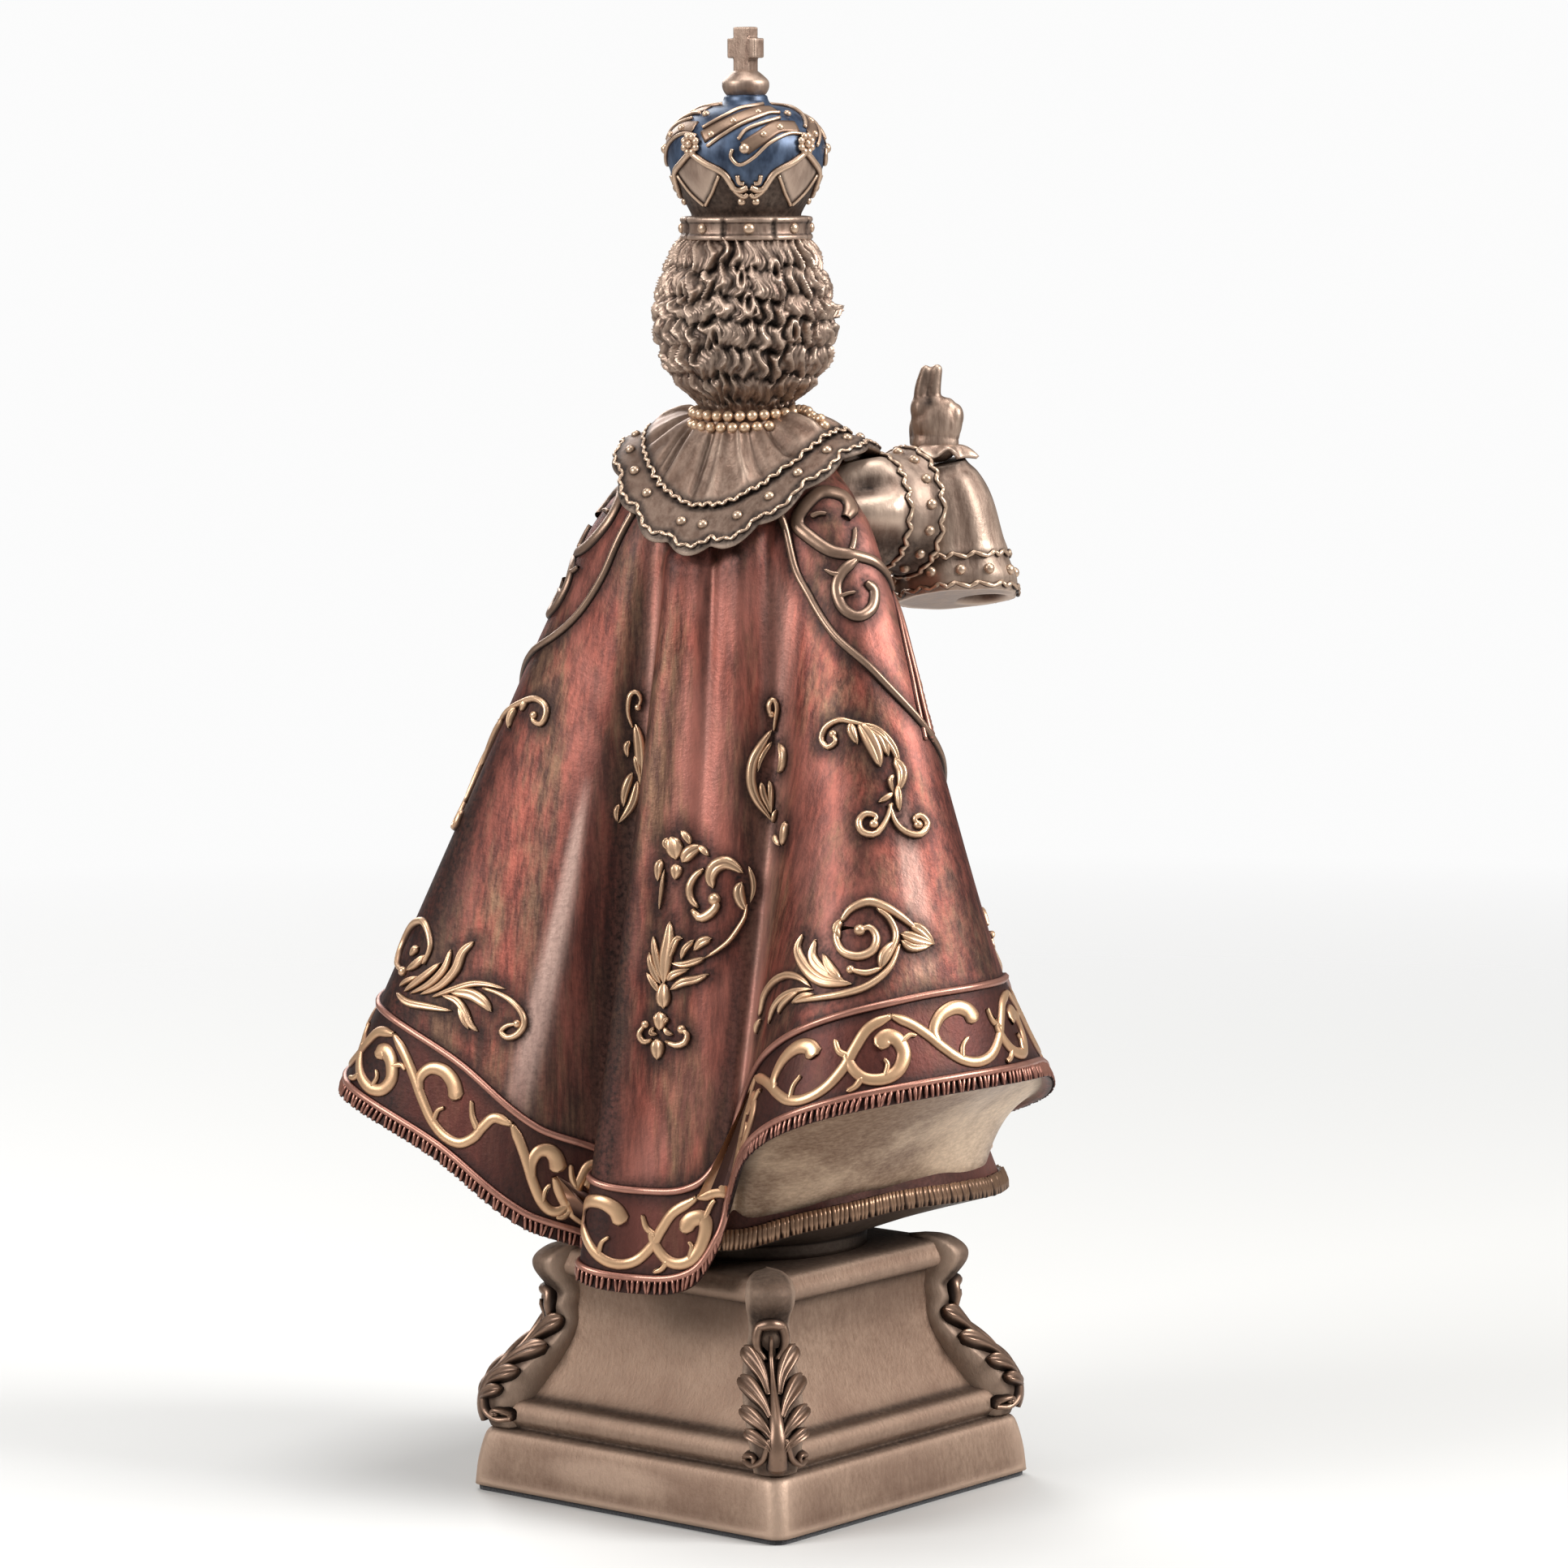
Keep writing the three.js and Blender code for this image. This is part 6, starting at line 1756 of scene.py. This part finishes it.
def consolePoint(angle, aside, share, proud=0.0):
    aside, share = np.broadcast_arrays(np.asarray(aside, float), np.asarray(share, float))
    height = plinth["felt"] + blend(plinth["low"], plinth["height"] - 0.4, np.minimum(share, 1.03))
    half = through(console["half"], share)
    inside = np.clip(np.abs(aside) / (half + 0.8), 0, 1)
    back = console["deep"] * (1 - np.sqrt(1 - inside ** 2 * 0.96))
    back = back + np.maximum(0, np.abs(aside) - half - 0.8) * 0.75
    corner = plinth["width"] / math.sqrt(2) - through(console["outer"], share) - back + proud
    flat = outward(angle) * corner[..., None] + outward(angle + 90) * aside[..., None]
    return flat + up * height[..., None]


def makeConsoles():
    body, leaves = bmesh.new(), bmesh.new()
    layerOf(leaves, "rise")
    for k in range(4):
        angle = 45 + 90 * k
        inner = outward(angle) * plinth["waist"] * 0.6

        def shell(u, v):
            share = 1.03 * (1 - v)
            aside = (u * 2 - 1) * (through(console["half"], share) + 0.8)
            at = consolePoint(angle, aside, share)
            sink = np.clip((np.abs(u * 2 - 1) - 0.93) / 0.07, 0, 1)[:, None]
            core = np.concatenate([np.broadcast_to(inner[:2], (len(at), 2)), at[:, 2:]], 1)
            closed = blend(at, consolePoint(angle, 0 * aside, share, -3), (v < 0.001)[:, None])
            return blend(closed, core, sink * 0.8)

        # painted shade, with patina, on the ground round and behind the leaf
        def shade(u, v):
            share = 1.03 * (1 - v)
            knob = 0.5 + 0.35 * (1 - step(0.8, 0.9, share)) + 0.25 * step(0.97, 1.01, share)
            knob = blend(0.65, knob, step(0.72, 0.78, share))
            return np.clip(knob * (1 - 0.6 * step(0.36, 0.46, np.abs(u - 0.5))), 0, 0.95)

        lattice(body, 40, 104, shell, stain=shade)

        def draw(points, width, high, section, lift=0.0):
            share = np.linspace(0, 1, 7 * len(points))
            aside, rise = path(points, share).T
            at = consolePoint(angle, aside, rise, lift * np.sin(np.pi / 2 * share))
            beside = consolePoint(angle, aside + 0.3, rise) - consolePoint(angle, aside - 0.3, rise)
            below = consolePoint(angle, aside, rise - 0.01) - consolePoint(angle, aside, rise + 0.01)
            normals = unit(np.cross(below, beside))
            facing = np.sign(np.sum(normals * outward(angle), -1, keepdims=True))
            normals = unit(normals * facing + outward(angle))
            width = width(share)
            stroke(leaves, at, normals, width, high * (0.45 + 0.55 * width / width.max()), section)
            return at, normals

        # a lobe swells towards its rounded tip
        def lobe(wide):
            return lambda share: wide * (0.3 + 0.7 * step(0, 0.75, share)) * np.sqrt(
                1 - np.clip((share - 0.76) / 0.24, 0, 1) ** 2 * 0.97)

        def ribWidth(share):
            return np.interp(share, np.linspace(0, 1, len(widths)), widths)

        heights, widths = np.array(console["rib"][::-1]).T
        draw([(0, high) for high in heights], ribWidth, 1.5, strokeSection, 0.4)
        draw(console["cap"], lambda share: 0.55 + 0.75 * np.sin(np.pi * share), 1.8, strokeSection, 0.3)
        for side in (-1, 1):
            for low, high, aside, wide in console["lobes"]:
                bend = [(side * aside * out, blend(low, high, rise)) for out, rise in console["lobeBend"]]
                draw([(side * 1.1, low)] + bend, lobe(wide), 1.9, cupSection, 0.9)
            far, middle, size = console["volute"]
            turnings = np.linspace(0, 1, 9)
            shrink = size * 0.72 * (1 - 0.65 * turnings)
            turned = 200 - 400 * turnings
            curl = np.stack([side * (far + shrink * cosine(turned)), middle - shrink * sine(turned) / 36], 1)
            at, normals = draw([(side * 1.6, 0.2), (side * 2.3, 0.13), (side * 2.7, 0.1), *curl[1:]],
                               lambda share: 0.75 - 0.15 * share, 1.5, strokeSection, 0.3)
            stud(leaves, at[-1] + normals[-1] * 0.3, normals[-1], 0.75, 0.9, 3)
    makePiece("consoles", body, smoothBronze, slot="bronze", hollow=6)
    makePiece("consoleLeaves", leaves, leafBronze, slot="bronze")


makeConsoles()

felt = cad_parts["felt_pad"]
felt.data.materials.clear()
felt.data.materials.append(feltPaint)


# Camera, floor and light

view = {"turn": viewTurn, "away": 1195.697, "height": 277.039, "focal": 7220.459,
        "yaw": 0.345, "pitch": -6.264, "roll": -0.227, "picture": 1932}


def makeCamera():
    a, y, q, r = (math.radians(view[k]) for k in ("turn", "yaw", "pitch", "roll"))
    ahead, right = Vector((-math.sin(a), math.cos(a), 0)), Vector((math.cos(a), math.sin(a), 0))
    top = Vector((0, 0, 1))
    ahead, right = ahead * math.cos(y) + right * math.sin(y), right * math.cos(y) - ahead * math.sin(y)
    ahead, top = ahead * math.cos(q) + top * math.sin(q), top * math.cos(q) - ahead * math.sin(q)
    right, top = right * math.cos(r) + top * math.sin(r), top * math.cos(r) - right * math.sin(r)
    lens = bpy.data.cameras.new("camera")
    lens.sensor_width = 36
    lens.lens = 36 * view["focal"] / view["picture"]
    lens.clip_start, lens.clip_end = 0.05, 20
    camera = show("camera", lens)
    spot = Vector((math.sin(a) * view["away"], -math.cos(a) * view["away"], view["height"])) * millimetre
    camera.matrix_world = Matrix.Translation(spot) @ Matrix((right, top, -ahead)).transposed().to_4x4()
    bpy.context.scene.camera = camera
    return spot


def makeFloor():
    floor = bmesh.new()
    bmesh.ops.create_circle(floor, cap_ends=True, cap_tris=False, segments=96, radius=studio["floor"])
    mesh = bpy.data.meshes.new("floor")
    floor.to_mesh(mesh)
    floor.free()
    paint = Paint("paleFloor", Metallic=0.0, Base_Color=(0.53, 0.527, 0.515, 1), Roughness=0.6)
    away = paint.node("ShaderNodeVectorMath", {"operation": "LENGTH"}, {0: paint.place}, "Value")
    mesh.materials.append(paint.wear(Alpha=1 - away.between(0.3, studio["floor"] * 0.98)))
    show("floor", mesh)


studio = {
    # name, metres to the side, towards the camera and up, size, and power
    "lamps": [("keyLight", 1.15, 0.4, 0.75, 0.6, 27), ("fillLight", -1.05, 0.6, 0.65, 0.65, 17),
              ("topLight", 0.1, 0.1, 1.5, 0.8, 16), ("rimLight", -0.5, -1.1, 0.7, 0.7, 9)],
    "floor": 1.1, "ambience": 0.2, "sweep": 0.97,
}


def makeLights(spot):
    aim = Vector((0, 0, 0.15))
    back = spot - aim
    back.z = 0
    back.normalize()
    right = Vector((-back.y, back.x, 0))
    for name, side, near, height, size, power in studio["lamps"]:
        lamp = bpy.data.lights.new(name, "AREA")
        lamp.shape = "SQUARE"
        lamp.size = size
        lamp.energy = power
        light = show(name, lamp)
        light.location = aim + right * side + back * near + Vector((0, 0, height))
        light.rotation_euler = (aim - light.location).to_track_quat("-Z", "Y").to_euler()
    world = bpy.data.worlds.new("studio")
    world.use_nodes = True
    nodes, links = world.node_tree.nodes, world.node_tree.links
    nodes["Background"].inputs["Color"].default_value = (1, 1, 1, 1)
    ray = nodes.new("ShaderNodeLightPath")       # a bright sweep behind, softer light all round
    strength = nodes.new("ShaderNodeMapRange")
    strength.inputs["To Min"].default_value = studio["ambience"]
    strength.inputs["To Max"].default_value = studio["sweep"]
    links.new(ray.outputs["Is Camera Ray"], strength.inputs["Value"])
    links.new(strength.outputs["Result"], nodes["Background"].inputs["Strength"])
    bpy.context.scene.world = world
    bpy.context.scene.view_settings.view_transform = "Standard"


spot = makeCamera()
makeFloor()
makeLights(spot)
shadeRound(capePiece, cordPoints + reliefPoints, 3.6, "halo")

print("scene ready")
